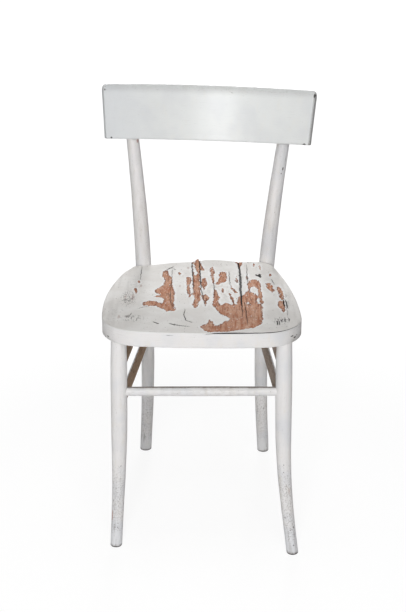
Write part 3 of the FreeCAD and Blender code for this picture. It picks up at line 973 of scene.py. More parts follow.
@dataclass
class SeatPanel:
    """Thin plywood seat whose paint has flaked and whose rear edge has split and curled up."""

    outline: SeatOutline
    height: float = 458.0
    thickness: float = 3.0
    edge_rounding: float = 2.4
    film: float = 0.4
    sunk: float = 0.1
    groove: float = 1.4
    grain_height: float = 0.12
    wave_height: float = 0.15
    counts: tuple[int, int] = (300, 270)
    under_insets: tuple[float, ...] = (1.0, 4.0, 9.0, 16.0, 25.0, 36.0, 50.0, 80.0)
    under_middle: tuple[float, float] = (0.0, -4.0)
    patches: tuple[Points, ...] = (
        ((-87, 140), (-84, 146), (-78, 143), (-75, 114), (-68, 102), (-65, 52), (-60, 22),
         (-57, -25), (-58, -54), (-52, -90), (-55, -98), (-63, -97), (-69, -103), (-75, -93),
         (-83, -83), (-92, -72), (-110, -69), (-117, -69), (-120, -55), (-113, -47), (-105, -41),
         (-93, -44), (-81, -56), (-78, -31), (-83, -23), (-100, -19), (-93, -10), (-88, -7),
         (-98, 9), (-99, 21), (-89, 39), (-83, 58), (-80, 79), (-86, 101), (-88, 127)),
        ((-57, 131), (-53, 134), (-48, 125), (-49, 114), (-54, 115)),
        ((-137, 75), (-134, 79), (-132, 69), (-134, 61)),
        ((-142, 29), (-138, 32), (-135, 20), (-136, 0), (-139, 8)),
        ((-36, 103), (-27, 100), (-26, 75), (-29, 53), (-28, 29), (-24, 5), (-24, -16), (-28, -19),
         (-32, 5), (-35, 41), (-37, 77)),
        ((-28, 198), (-26, 198), (-24, 148), (-19, 113), (-14, 122), (-9, 116), (-8, 78), (-8, 54),
         (-6, 23), (-6, -18), (-7, -47), (-10, -72), (-15, -81), (-19, -74), (-21, -58), (-18, -41),
         (-17, -18), (-20, 11), (-22, 53), (-24, 103)),
        ((-23, 188), (-22, 204), (-17, 208), (-13, 208), (-9, 188), (-3, 155), (0, 139), (-6, 148),
         (-10, 152), (-9, 122), (-15, 132), (-19, 155)),
        ((-6, 85), (-2, 99), (3, 100), (5, 66), (4, 36), (1, 21), (-3, 41)),
        ((-2, -6), (4, -2), (10, -12), (13, -26), (9, -38), (6, -41), (7, -58), (6, -72), (3, -52),
         (0, -29), (-4, 0)),
        ((13, 161), (17, 167), (21, 136), (21, 91), (23, 60), (19, 67), (16, 91), (12, 126)),
        ((31, 135), (37, 140), (46, 137), (48, 114), (47, 86), (43, 73), (35, 64), (31, 55),
         (26, 59), (30, 76), (32, 104)),
        ((67, 116), (70, 112), (71, 87), (71, 59), (68, 74), (67, 93)),
        ((54, 54), (59, 53), (61, 32), (67, 19), (70, 7), (64, 9), (59, 25), (55, 35)),
        ((37, 37), (40, 35), (42, 10), (39, 11)),
        ((52, 4), (56, 1), (61, -28), (65, -59), (61, -61), (57, -31)),
        ((21, 34), (26, 25), (30, 3), (35, -17), (32, -37), (35, -62), (41, -62), (45, -47),
         (51, -51), (58, -61), (67, -56), (70, -30), (72, -10), (81, -4), (89, 18), (92, 38),
         (90, 62), (93, 81), (102, 89), (111, 91), (116, 69), (119, 12), (120, -43), (118, -99),
         (117, -138), (113, -163), (103, -181), (87, -191), (74, -197), (61, -204), (45, -209),
         (20, -209), (7, -202), (-2, -179), (5, -170), (11, -163), (15, -142), (19, -151),
         (24, -170), (30, -175), (36, -166), (43, -152), (52, -147), (54, -136), (45, -122),
         (34, -107), (26, -85), (20, -66), (20, -29), (21, 18)),
        ((62, 201), (71, 204), (81, 197), (78, 174), (74, 154), (71, 180), (65, 193)),
        ((128, 68), (133, 74), (139, 68), (143, 45), (144, 21), (142, 11), (136, 26), (130, 39)),
        ((151, 55), (155, 50), (159, 28), (162, -2), (163, -23), (158, -30), (155, -14), (152, 16)),
        ((150, -33), (156, -36), (162, -37), (163, -59), (162, -93), (159, -101), (155, -78),
         (150, -61)),
        ((88, 122), (91, 124), (92, 96), (89, 92)),
        ((103, 174), (107, 178), (107, 163), (104, 160)),
        ((116, 163), (119, 164), (120, 145), (118, 142)),
        ((137, 121), (140, 123), (141, 114), (138, 108)),
    )
    islands: tuple[Points, ...] = (
        ((96, 44), (105, 48), (111, 31), (113, 6), (111, -8), (107, 3), (101, 10), (96, 11)),
        ((109, -22), (114, -22), (113, -51), (110, -55), (108, -44)),
        ((89, -40), (94, -49), (93, -61), (88, -55)),
    )
    cracks: tuple[Points, ...] = (
        ((71, 206, 1.0), (73, 170, 1.4), (75, 138, 2.1), (76, 87, 2.5), (76, 26, 2.2),
         (77, -33, 1.5), (78, -78, 0.8), (79, -125, 0.4)),
        ((90, 177, 0.4), (90, 138, 0.6), (91, 87, 0.7), (91, 56, 0.4)),
        ((83, -44, 0.4), (85, -84, 0.8), (87, -127, 0.8), (88, -169, 0.4)),
        ((-29, 204, 1.0), (-27, 161, 1.0), (-24, 116, 0.9), (-22, 65, 0.8), (-20, 17, 0.4)),
        ((-12, 208, 1.0), (-10, 148, 1.1), (-7, 84, 1.0), (-5, 35, 0.9), (0, -18, 0.8),
         (5, -69, 0.4)),
        ((-69, 147, 0.5), (-67, 83, 0.6), (-67, 34, 0.6), (-66, -14, 0.7), (-63, -54, 0.7),
         (-57, -87, 0.5)),
        ((-135, 165, 0.4), (-134, 132, 0.8), (-133, 81, 0.4)),
        ((20, 73, 0.6), (22, 36, 0.8), (25, 0, 0.4)),
        ((52, 143, 0.4), (53, 99, 0.8), (55, 49, 0.5)),
        ((141, 96, 0.4), (144, 76, 0.7), (147, 60, 0.4)),
        ((163, -19, 0.5), (166, -48, 0.6), (166, -76, 0.5), (167, -130, 0.3)),
        ((-82, 147, 0.8), (-74, 160, 1.6), (-66, 171, 0.8)),
        ((-71, 160, 1.0), (-62, 150, 1.2)),
        ((108, 124, 1.0), (112, 117, 2.6), (116, 113, 3.6), (119, 121, 1.4)),
        ((116, 124, 1.8), (117, 112, 3.6), (118, 104, 1.2)),
        ((-93, -156, 1.2), (-83, -165, 1.8)),
        ((-127, -86, 0.8), (-116, -76, 1.2), (-104, -70, 0.8)),
        ((-61, -164, 1.4), (-52, -170, 2.1), (-35, -176, 1.5), (-22, -180, 0.8)),
        ((-34, -84, 0.5), (-35, -114, 0.8), (-31, -146, 0.9), (-19, -157, 1.2)),
        ((161, -28, 0.9), (161, -48, 1.5), (162, -66, 1.0)),
        ((166, -31, 0.6), (167, -55, 0.9), (168, -76, 0.6)),
        ((145, -143, 0.6), (145, -155, 1.1), (145, -167, 0.7)),
        ((149, -143, 0.5), (149, -154, 0.9), (149, -166, 0.8)),
        ((155, -132, 0.5), (154, -143, 1.0), (154, -154, 0.5)),
        ((160, -133, 0.7), (160, -143, 1.0), (160, -152, 0.6)),
        ((168, -128, 0.6), (168, -138, 1.0), (168, -147, 0.6)),
        ((-160, -92, 0.6), (-155, -97, 0.6)),
        ((-144, -139, 0.4), (-140, -125, 0.7), (-137, -111, 0.5)),
        ((-151, -149, 0.4), (-143, -157, 0.5)),
        ((-134, -154, 0.4), (-120, -151, 0.5)),
        ((-164, -150, 0.6), (-158, -155, 0.4)),
    )
    stains: Points = (
        (-141, -22, 3, 18), (-156, -22, 2, 12), (-161, -132, 2.5, 9), (-134, 69, 3, 8),
        (-129, 47, 2.5, 8), (-35, 161, 2.6, 8), (-49, 46, 2, 6),
    )
    crazed_spots: Points = (
        (-136, -138, 32, 22, 1.0),
        (152, -146, 20, 28, 1.0),
        (-150, -30, 22, 70, 0.8),
        (164, -40, 14, 70, 0.6),
        (-140, 60, 30, 60, 0.35),
        (40, 20, 60, 90, 0.35),
    )
    rear_lift: Points = (
        (-162, 0), (-157, 1.6), (-151, 4.2), (-139, 3.1), (-126, 0.8), (-105, 0), (-29, 0),
        (-26, 0.6), (-24, 2.0), (-20.5, 3.4), (-16.5, 7.2), (-14, 7.2), (-12.5, 3.0), (-9, 2.3),
        (0, 4.3), (11, 4.6), (22, 5.0), (44, 4.8), (59, 4.0), (70, 3.6), (74, 3.6), (87, 5.2),
        (98, 7.3), (110, 9.0), (123, 10.8), (132, 11.2), (140, 9.8), (146, 6.7), (150, 3.2),
        (155, 0.4), (160, 0),
    )
    rear_lift_reach: float = 62.0
    split: Points = (
        (-200, 0), (0, 0), (12, 0.45), (30, 1), (176, 1), (186, 0.5), (191, 0),
    )
    split_lift: Points = (
        (-200, 0), (8, 0), (24, 1.2), (45, 2.0), (66, 1.9), (90, 1.1), (140, 1.0), (165, 1.1),
        (182, 0.8), (190, 0),
    )
    split_reach: float = 45.0
    split_rear_end: float = -135.0
    split_fade: float = 25.0
    whole_edge: Points = (
        (1.48, 0.18), (0.7, 0.7), (0.18, 1.48), (0, 2.3), (0, 2.4), (0, 2.5), (0, 2.6), (0, 2.7),
        (0, 2.85), (0, 3),
    )
    split_edge: Points = (
        (0.9, 0.03), (0.35, 0.2), (0.1, 0.6), (0.1, 1), (5.5, 1.05), (6.5, 1.5), (0.8, 1.75),
        (0.15, 1.8), (0, 2.3), (0, 3),
    )

    def depths(self, x: Array, y: Array) -> tuple[Array, Array]:
        """Signed distances into the bare patches and into the cracks.

        The patches' edges are uneven along the grain. Each crack is a broken line with a half
        width at its points, and sways a little.

        Args:
            x: first coordinate of the points.
            y: second coordinate of the points.

        Returns:
            Both distances at each point.
        """
        depth = np.max([polygon_depth(x, y, patch) for patch in self.patches], 0)
        for island in self.islands:
            depth = np.minimum(depth, -polygon_depth(x, y, island))
        uneven = lattice_noise(x / 2.6, y / 6, 11) * 1.3 + lattice_noise(x / 7, y / 12, 12) * 0.8
        crack = np.full(x.shape, FAR)
        sway = lattice_noise(3, y / 9, 13) * 0.8 + lattice_noise(7, y / 3, 14) * 0.3
        for line in self.cracks:
            for start, end in zip(line, line[1:]):
                share, away = segment_reach(x + sway, y, start, end)
                crack = np.maximum(crack, blend(start[2], end[2], share) - away)
        return depth + uneven, crack

    def split_share(self, x: Array, y: Array) -> Array:
        """How far the top veneer has split off at the front right edge, from 0 to 1."""
        end = self.split_rear_end
        return read_curve(self.split, x) * smooth(y, end + self.split_fade, end)

    @staticmethod
    def faded(gap: Array, reach: float) -> Array:
        """Share of a lift at a gap from its edge, which fades with the square of the distance."""
        return np.clip(1 - gap / reach, 0, 1.05) ** 2

    def lift(self, x: Array, y: Array, lower: Array) -> Array:
        """Height by which the curled rear edge and the split veneer stand off.

        Args:
            x: first coordinate of the points.
            y: second coordinate of the points.
            lower: 1 below the split veneer and 0 above.

        Returns:
            The lift at each point.
        """
        rear_fade = self.faded(self.outline.rear_gap(x, y), self.rear_lift_reach)
        front_fade = self.faded(self.outline.front_gap(x, y), self.split_reach)
        front = read_curve(self.split_lift, x) * self.split_share(x, y) * front_fade
        return np.where(y > 0, read_curve(self.rear_lift, x) * rear_fade, front * (1 - lower))

    def top_patch(self) -> Array:
        """Points of the top as a grid between its four sides.

        Each point is the blend of the front and rear sides, plus that of the left and right
        ones, less that of the four corners.

        Returns:
            Points by row from front to rear, by column from left to right, by coordinate.
        """
        across, deep = self.counts
        front, right, rear, left = (
            self.outline.at(self.outline.side(arcs, self.counts[number % 2]), self.edge_rounding)
            for number, arcs in enumerate(self.outline.sides)
        )
        rear, left = rear[::-1], left[::-1]
        s, t = np.linspace(0, 1, across)[:, None], np.linspace(0, 1, deep)[:, None, None]
        corners = blend(blend(front[0], front[-1], s), blend(rear[0], rear[-1], s), t)
        return blend(front, rear, t) + blend(left[:, None], right[:, None], s) - corners

    def surface(self) -> Surface:
        """The whole panel: top, rounded edge, side and underside.

        Returns:
            The closed surface with its layers.
        """
        across, deep = self.counts
        flat = self.top_patch().reshape(-1, 2)
        number = np.arange(len(flat)).reshape(deep, across)
        rim = np.concatenate([number[0, :-1], number[:-1, -1], number[-1, :0:-1], number[:0:-1, 0]])
        places, count = self.outline.loop(self.counts), len(rim)
        split = self.split_share(*self.outline.at(places, 0).T)
        whole, parted = (np.array(edge)[..., None] for edge in (self.whole_edge, self.split_edge))
        edge, under = blend(whole, parted, split), np.array(self.under_insets)[:, None]
        insets = np.concatenate([edge[:, 0], under + 0 * split])
        drops = np.concatenate([edge[:, 1], self.thickness + 0 * under * split])
        rings, ply = np.arange(len(insets)), len(self.whole_edge) // 2

        def spread(values: Array, last: float) -> Array:
            """Values of the top's points, of the rings' and of the underside's middle."""
            return np.concatenate([np.zeros(len(flat)), values.ravel(), [last]])

        drop, lower = spread(drops, self.thickness), spread(np.repeat(rings >= ply, count), 1)
        gap = spread((np.abs(rings - ply) <= 1)[:, None] * split, 0)
        loops = [self.outline.at(places, inset) for inset in insets]
        plan = np.concatenate([flat, *loops, [self.under_middle]])
        x, y = plan.T
        bare, crack = self.depths(x, y)
        below = drop > 0.75 * self.thickness
        proud = (
            self.film * smooth(-bare, -0.5, 0.5)
            - self.groove * smooth(crack, -0.6, 0.4)
            + self.grain_height * lattice_noise(x / 1.6, y / 30, 15) * smooth(bare, -0.5, 0.5)
            + self.wave_height * lattice_noise(x / 24, y / 60, 16)
            - self.sunk
        )
        z = self.height - drop + np.where(below, 0, proud) + self.lift(x, y, lower)
        bands = np.concatenate([rim, len(flat) + np.arange(len(rings) * count)]).reshape(-1, count)
        after = np.roll(bands, -1, 1)
        sides = np.stack([bands[1:], after[1:], after[:-1], bands[:-1]], -1).reshape(-1, 4)
        quads = np.concatenate([grid_quads(deep, across, (False, False)), sides])
        fan = np.stack([after[-1], bands[-1], np.full(count, len(plan) - 1)], -1)
        bare, crack = (np.where(below, FAR, np.clip(depth, FAR, -FAR)) for depth in (bare, crack))
        crazed, grime = self.aged(x, y)
        layers = {
            Layer.BARE: bare,
            # In the split at the front right, the crack colour is painted shadow in the gap
            Layer.CRACK: np.where(gap > 0.3, 3, crack),
            Layer.CRAZED: crazed,
            Layer.GRIME: grime,
            Layer.TINT: np.maximum(smooth(drop, 0.3, 1.6), 0.85 * smooth(bare, -7, -1)),
            Layer.COOL: oval_depth(self.stains, x, y),
        }
        return Surface(raised(plan, z), quads, fan, layers)

    def aged(self, x: Array, y: Array) -> tuple[Array, Array]:
        """How crazed and how dirty the paint is.

        Crazed spots fade outwards. Dirt lies in streaks from front to back, more of it near the
        sides and by the right post.

        Args:
            x: first coordinate of the points.
            y: second coordinate of the points.

        Returns:
            Share of crazing and of dirt at each point.
        """
        amount = np.full(x.shape, 0.08)
        for middle_x, middle_y, half_x, half_y, most in self.crazed_spots:
            reach = np.hypot((x - middle_x) / half_x, (y - middle_y) / half_y)
            amount = np.maximum(amount, most * (1 - smooth(reach, 0.3, 1.1)))
        streaks = lattice_noise(x / 6, y / 55, 17) * 0.5 + 0.5
        sides = smooth(np.abs(x), 110, 185)
        by_edge = smooth(self.outline.rear_gap(x, y), 5, 1)
        by_post = smooth(x, 112, 128) * by_edge * smooth(y, 120, 140)
        return amount, np.clip(0.1 + 0.35 * streaks * (0.4 + sides) + 0.9 * by_post, 0, 1)

    def build(self, shop: Workshop, material: Material) -> None:
        """Make the panel."""
        nodes = ("seat_panel",)
        shop.piece("seat_panel_worn", self.surface(), material, Slot.PAINTED_PLYWOOD, nodes)


# Ring under the seat


@dataclass
class SeatRing:
    """Bent ring under the seat panel, with rounded lower edges."""

    outline: SeatOutline
    top: float = 455.0
    height: float = 28.6
    width: float = 32.0
    outer_rounding: float = 3.0
    inner_rounding: float = 2.0
    unevenness: float = 0.15
    counts: tuple[int, int] = (300, 260)
    dark_marks: Points = (
        (173, -181, 441, 5.0, 1.3), (178, -174, 436, 4.0, 1.6), (182, -168, 439, 2.5, 1.0),
        (-178, -173, 434, 4.0, 1.2), (-184, -162, 429, 3.0, 1.2), (-60, -211, 452, 9.0, 0.7),
    )

    def profile(self) -> tuple[Array, Array]:
        """Section of the ring, counter-clockwise as seen along the outline.

        Returns:
            Inset from the outline and height of each point.
        """
        bottom, top, width = self.top - self.height, self.top, self.width
        turn, outer, inner = QUARTER_TURN, self.outer_rounding, self.inner_rounding
        parts = (
            (np.linspace(width - inner, outer, 13)[1:-1], bottom),
            (outer * (1 - np.sin(turn)), bottom + outer * (1 - np.cos(turn))),
            (0.0, np.linspace(bottom + outer, top - 0.3, 12)[1:]),
            (np.array([0.3, 1.0]), top),
            (np.linspace(4, width - 1, 8), top),
            (width, np.linspace(top, bottom + inner, 12)[:-1]),
            (width - inner * (1 - np.cos(turn)), bottom + inner * (1 - np.sin(turn))),
        )
        insets, heights = zip(*(np.broadcast_arrays(*part) for part in parts))
        return np.concatenate(insets), np.concatenate(heights)

    def surface(self) -> Surface:
        """The profile carried round the outline.

        Returns:
            The closed surface with its layers.
        """
        insets, heights = self.profile()
        middle, radius, way = (values[:, None] for values in self.outline.loop(self.counts))
        plan = middle + way * (radius - insets)[..., None]
        steps = np.hypot(*np.diff(plan[:, 0], axis=0).T)
        around = np.concatenate([[0], np.cumsum(steps)])[:, None]
        wave = lattice_noise(around / 30, heights / 12, 21)
        points = raised(plan + way * (self.unevenness * (wave - 1))[..., None], heights)
        x, y, z = np.moveaxis(points, -1, 0)
        low = smooth(z, self.top - 10, self.top - self.height)
        corner = smooth(np.abs(x), 150, 185) * smooth(-y, 60, 150)
        inside = smooth(insets, 4, 12)
        marks = [
            oval_depth(((0, mark_z, wide, tall),), np.hypot(x - mark_x, y - mark_y), z)
            for mark_x, mark_y, mark_z, wide, tall in self.dark_marks
        ]
        # At the front corners, most of all low down and on the right, the ring darkens: dirt and
        # painted shade
        dirt = 0.08 + corner * (0.22 + 0.1 * np.sign(x) + 0.55 * low) + 0.5 * inside
        layers = {
            Layer.STRAIGHT: np.stack(np.broadcast_arrays(insets, z, around), -1).reshape(-1, 3),
            Layer.BARE: (-3 + 6 * inside * smooth(wave, -0.2, 1.2)).ravel(),
            Layer.GRIME: np.clip(dirt, 0, 1).ravel(),
            Layer.CHIP: np.max(marks, 0).ravel(),
            Layer.COOL: np.full(z.size, FAR),
        }
        quads = grid_quads(*z.shape, (True, True))[:, ::-1]
        return Surface(points.reshape(-1, 3), np.roll(quads, 1, 1), layers=layers)

    def build(self, shop: Workshop, material: Material) -> None:
        """Make the ring."""
        nodes = ("seat_ring",)
        shop.piece("seat_ring_painted", self.surface(), material, Slot.PAINTED_WOOD, nodes)


# Legs


@dataclass
class Leg:
    """A bent round leg: what front and rear legs share; a band is where a layer comes in."""

    side: Side
    outline: SeatOutline
    kind: str = ""
    radius: float = 0.0
    radius_shares: Points = ()
    length: float = 0.0
    top_overlap: float = 0.0
    top_rounding: float = 0.0
    step: float = 1.0
    bend_start: float = 0.0
    bend_end: float = 0.0
    ring_bottom: float = 426.4
    foot_rounding: float = 2.2
    columns: int = 80
    unevenness: float = 0.2
    chip_depth: float = 0.3
    # Band where the foot's bottom darkens: dirt and painted contact shadow
    foot_dirt_and_shadow_band: tuple[float, float] = (8.0, 2.0)
    foot_band: tuple[float, float] = (52.0, 40.0)
    tint_band: tuple[float, float] = (58.0, 42.0)
    low_band: tuple[float, float] = (230.0, 90.0)
    speck_band: tuple[float, float] = (210.0, 120.0)
    post_band: tuple[float, float] = (440.0, 500.0)
    # Height of the dark band at the foot's bottom: dirt and painted contact shadow
    foot_dirt_and_shadow_height: float = 2.6
    foot_tint: float = 0.55
    post_grime: float = 0.0
    chips: Points = ()
    stains: Points = ()
    seed: int = 31

    def axis(self, height: Array) -> Array:
        """Middle of the leg at each height, as x and y."""
        raise NotImplementedError

    def girth(self, height: Array) -> Array:
        """Radius of the leg at each height."""
        return self.radius * read_curve(self.radius_shares, height / self.length)

    def kicked(self, height: Array) -> Array:
        """Share of the foot's kick: none above its bend and all of it on the floor."""
        run, whole = (bend_run(z, self.bend_start, self.bend_end) for z in (height, np.array(0.0)))
        return run / whole

    def rows(self) -> tuple[Array, Array]:
        """Heights of the leg's rows, and how far each is inset for the rounded ends.

        Returns:
            Height and inset of each row.
        """
        top, start, turn = self.length + self.top_overlap, self.foot_rounding, QUARTER_TURN
        end = top - self.top_rounding
        straight = np.linspace(start, end, int((end - start) / self.step))[1:]
        heights = [start * (1 - np.cos(turn)), straight]
        insets = [start * (1 - np.sin(turn)), 0 * straight]
        if self.top_rounding:
            heights.append(top - self.top_rounding * (1 - np.sin(turn[1:])))
            insets.append(self.top_rounding * (1 - np.cos(turn[1:])))
        return np.concatenate(heights), np.concatenate(insets)

    def surface(self) -> Surface:
        """Level circles along the bent axis, with a slightly uneven skin.

        Returns:
            The closed surface with its layers.
        """
        heights, insets = self.rows()
        z, girth = heights[:, None], self.girth(heights)[:, None]
        angle = np.linspace(0, 2 * math.pi, self.columns, endpoint=False)
        way = unit(angle)
        cos, sin = way.T
        uneven = lattice_noise(cos * 1.3 + 9, z / 34 + sin * 1.2, self.seed)
        streak = lattice_noise(cos * 3 + 20, z / 60 + sin * 3, self.seed + 1)
        around, scale = (np.degrees(angle) + 270) % 360 - 180, math.radians(1) * girth
        chip, stain = (oval_depth(ovals, around, z, scale) for ovals in (self.chips, self.stains))
        skin = self.unevenness * (uneven - 1) - self.chip_depth * smooth(chip, -0.4, 0.4)
        reach = girth - insets[:, None] + skin
        rows = raised(self.axis(heights)[:, None] + way * reach[..., None], z)
        low = smooth(z, *self.low_band) * smooth(z, 20, 60)
        foot = smooth(z, *self.foot_band) * smooth(streak, 0.15, 0.6)
        post = self.post_grime * smooth(z, *self.post_band)
        dirt = 0.12 + 0.12 * streak + 0.12 * low + 0.4 * foot + post
        layers = {
            Layer.STRAIGHT: raised(way * girth[..., None], z),
            # The foot's bottom darkens through grime, bare wood and a dark band: dirt and painted
            # contact shadow
            Layer.GRIME: np.clip(dirt + 0.85 * smooth(z, *self.foot_dirt_and_shadow_band), 0, 1),
            Layer.BARE: 0.6 - 4.6 * smooth(z, 0, 4),
            Layer.CRAZED: smooth(z, *self.speck_band) * smooth(z, 10, 40),
            Layer.CHIP: np.maximum(chip, self.foot_dirt_and_shadow_height - z),
            Layer.COOL: stain,
            Layer.TINT: self.foot_tint * smooth(z, *self.tint_band),
        }
        return closed_tube(self.notched(rows), layers)

    def notched(self, rows: Array) -> Array:
        """The rows after the notches are cut; a leg without notches keeps them."""
        return rows

    def build(self, shop: Workshop, material: Material) -> None:
        """Make the leg."""
        node = f"{self.kind}_{self.side.name.lower()}_leg"
        shop.piece(f"{node}_painted", self.surface(), material, Slot.PAINTED_WOOD, (node,))


@dataclass
class FrontLeg(Leg):
    """Front leg: straight under the seat's corner, then bent forwards and outwards at the foot."""

    kind: str = "front"
    length: float = 426.4
    top_overlap: float = 0.5
    step: float = 1.15
    angle: float = -44.2
    radius: float = 16.4
    lean: float = 5.8
    bend_start: float = 240.0
    bend_end: float = 65.0
    kick: float = 39.2
    splay: float = 4.3
    ring_width: float = 32.0
    radius_shares: Points = (
        (0.0, 0.71), (0.06, 0.715), (0.12, 0.725), (0.21, 0.76), (0.31, 0.82), (0.42, 0.885),
        (0.52, 0.955), (0.63, 0.985), (0.76, 1.0), (0.89, 0.98), (1.0, 0.92),
    )

    def top(self) -> Array:
        """Middle of the leg's top, set by the middle of the ring's right front corner.

        Returns:
            The middle as x and y.
        """
        reach = self.outline.right.front_corner_radius - self.ring_width / 2
        point = self.outline.front_corner + reach * unit(math.radians(self.angle))
        return point * np.array([self.side.value, 1])

    def axis(self, height: Array) -> Array:
        """Middle of the leg at each height: a slight lean, then a kick at the foot.

        Args:
            height: where it is taken.

        Returns:
            The middle as x and y.
        """
        (x, y), kick = self.top(), self.kicked(height)
        outward = self.lean * (1 - height / self.length) + self.splay * kick
        return np.stack([x + outward * self.side.value, y - self.kick * kick], -1)


@dataclass
class RearLeg(Leg):
    """Rear leg that runs on as a raked and flared back post, notched for seat and back panel."""

    kind: str = "rear"
    length: float = 802.0
    top_rounding: float = 5.0
    step: float = 1.3
    angle: float = 63.0
    radius: float = 16.9
    notch: float = 3.6
    notch_top: float = 468.0
    flare: float = 6.8
    flare_start: float = 225.0
    flare_end: float = 650.0
    rake: float = 8.4
    rake_start: float = 330.0
    rake_end: float = 540.0
    splay: float = 9.6
    kick: float = 32.3
    bend_start: float = 255.0
    bend_end: float = 75.0
    back_lean: float = 7.2
    bolt_height: float = 440.7
    back: "BackPanel | None" = None
    radius_shares: Points = (
        (0.0, 0.77), (0.08, 0.785), (0.16, 0.81), (0.25, 0.835), (0.34, 0.87), (0.43, 0.93),
        (0.5, 0.98), (0.57, 1.0), (0.64, 0.975), (0.72, 0.925), (0.81, 0.86), (0.9, 0.805),
        (1.0, 0.75),
    )

    def swung(self, height: Array) -> tuple[Array, Array]:
        """Way of the leg out of its straight stretch, by its kick at the foot and its slope above.

        Args:
            height: where it is taken.

        Returns:
            Distance outside the waist, and distance behind it.
        """
        foot = self.kicked(height)
        flare, rake = (math.tan(math.radians(slope)) for slope in (self.flare, self.rake))
        outside = self.splay * foot + flare * bend_run(height, self.flare_start, self.flare_end)
        return outside, self.kick * foot + rake * bend_run(height, self.rake_start, self.rake_end)

    def shift(self, height: Array) -> Array:
        """Distance of both posts to the right of their even place."""
        rise = np.maximum(0, height - self.bolt_height) / (self.length - self.bolt_height)
        return self.back_lean * rise

    def axis(self, height: Array) -> Array:
        """Middle of the leg at each height, held against the ring at the bolt's height.

        Args:
            height: where it is taken.

        Returns:
            The middle as x and y.
        """
        hold = self.outline.rear_radius + self.radius - self.notch
        start = hold * unit(math.radians(self.angle))
        (out, back), bolt = self.swung(height), self.swung(np.array(self.bolt_height))
        x, y = start[0] + out - bolt[0], self.outline.rear_middle[1] + start[1] + back - bolt[1]
        return np.stack([x * self.side.value + self.shift(height), y], -1)

    def notched(self, rows: Array) -> Array:
        """Points inside the seat or the back panel moved out to their faces.

        Args:
            rows: the leg's points.

        Returns:
            The rows with the notches in them.
        """
        z, apart = rows[..., 2], rows[..., :2] - self.outline.rear_middle
        beside = (z > self.ring_bottom) & (z < self.notch_top)
        plan = self.outline.rear_middle + pushed_out(apart, self.outline.rear_radius, beside)
        return self.back.pushed_behind(raised(plan, z))


# Stretchers


@dataclass
class Stretcher:
    """A dowel with a swollen middle between two legs."""

    name: str
    ends: tuple[Array, Array]
    end_girths: tuple[float, float]
    radius: float
    end_share: float = 0.93
    housing: float = 3.5
    columns: int = 56
    step: float = 1.6
    unevenness: float = 0.15
    bare_ways: Points = ()
    bare_level: float = -2.0
    bare_slope: float = 9.0
    seed: int = 51

    def surface(self) -> Surface:
        """Circles square to the dowel, on an arc that swells from both ends.

        Returns:
            The closed surface with its layers.
        """
        span = self.ends[1] - self.ends[0]
        length = float(np.linalg.norm(span))
        way = span / length
        first = self.end_girths[0] - self.housing
        last = length - self.end_girths[1] + self.housing
        run = np.linspace(first, last, int((last - first) / self.step))[:, None]
        share = (run - first) / (last - first) * 2 - 1
        girth = self.radius * (1 - (1 - self.end_share) * share**2)
        right = np.cross(way, (0.0, 0.0, 1.0))
        right /= np.linalg.norm(right)
        angle = np.linspace(0, 2 * math.pi, self.columns, endpoint=False)
        cos, sin = unit(angle[::-1]).T
        out = cos[:, None] * right + sin[:, None] * np.cross(right, way)
        uneven = lattice_noise(cos * 1.5 + 30, run / 26 + sin * 1.5, self.seed)
        patchy = lattice_noise(run / 7, angle * 1.5, self.seed + 1)
        reach = girth + self.unevenness * (uneven - 1)
        worn = np.full(self.columns, FAR)
        for bare_way in np.array(self.bare_ways):
            facing = out @ (bare_way / np.linalg.norm(bare_way))
            worn = np.maximum(worn, self.bare_level + self.bare_slope * (facing - 0.35))
        layers = {
            **UNMARKED,
            Layer.STRAIGHT: raised(unit(angle[::-1]) * self.radius, run),
            Layer.BARE: worn + 0.7 * patchy,
            Layer.GRIME: np.clip(0.25 + 0.2 * patchy, 0, 1),
        }
        return closed_tube(self.ends[0] + way * run[..., None] + out * reach[..., None], layers)

    def build(self, shop: Workshop, material: Material) -> None:
        """Make the stretcher."""
        name, nodes = f"{self.name}_painted", (self.name,)
        shop.piece(name, self.surface(), material, Slot.PAINTED_WOOD, nodes)


@dataclass
class Stretchers:
    """The stretchers between the legs: one in front, one behind and two on each side."""

    legs: dict[tuple[str, Side], Leg]
    height: float = 320.5
    tilt: float = 1.9
    side_spacing: float = 38.4
    side_rise: float = 11.2
    cross_radius: float = 9.6
    side_radius: float = 8.4

    def between(
        self, name: str, legs: tuple[Leg, Leg], heights: tuple[float, float], radius: float,
        **details: object,
    ) -> Stretcher:
        """A stretcher between two legs' axes.

        Args:
            name: the node's name.
            legs: legs at its start and end.
            heights: height at each.
            radius: radius of its middle.
            **details: further fields of the stretcher.

        Returns:
            The stretcher.
        """
        places = [(leg, np.array(height)) for leg, height in zip(legs, heights)]
        ends = tuple(np.append(leg.axis(height), height) for leg, height in places)
        girths = tuple(float(leg.girth(height)) for leg, height in places)
        return Stretcher(name, ends, girths, radius, **details)

    def build(self, shop: Workshop, across: Material, beside: dict[Side, Material]) -> None:
        """Make all stretchers.

        Args:
            shop: where they are made.
            across: finish of the front and rear ones.
            beside: finish of the side ones by their side.
        """
        behind = self.height + self.side_rise
        tilted = self.height - self.tilt, self.height + self.tilt
        crossing = (
            ("front", tilted, (0, 0.45, 1), -7.0, 20.0, 52),
            ("rear", (behind, behind), (0, 0, 1), -3.5, 9.0, 53),
        )
        for kind, heights, bare_way, level, slope, seed in crossing:
            self.between(
                f"{kind}_stretcher", tuple(self.legs[kind, side] for side in Side), heights,
                self.cross_radius, bare_ways=(bare_way,), bare_level=level, bare_slope=slope,
                seed=seed,
            ).build(shop, across)
        for side in Side:
            for level, step in (("lower", -1), ("upper", 1)):
                front = self.height + self.side_spacing * step
                self.between(
                    f"{side.name.lower()}_{level}_stretcher",
                    (self.legs["front", side], self.legs["rear", side]),
                    (front, front + self.side_rise), self.side_radius, bare_level=1.0,
                    bare_ways=((-side.value, 0, 0.9), (-side.value, 0, -0.6)),
                    seed=54 + 2 * step + side.value,
                ).build(shop, beside[side])


# Back panel


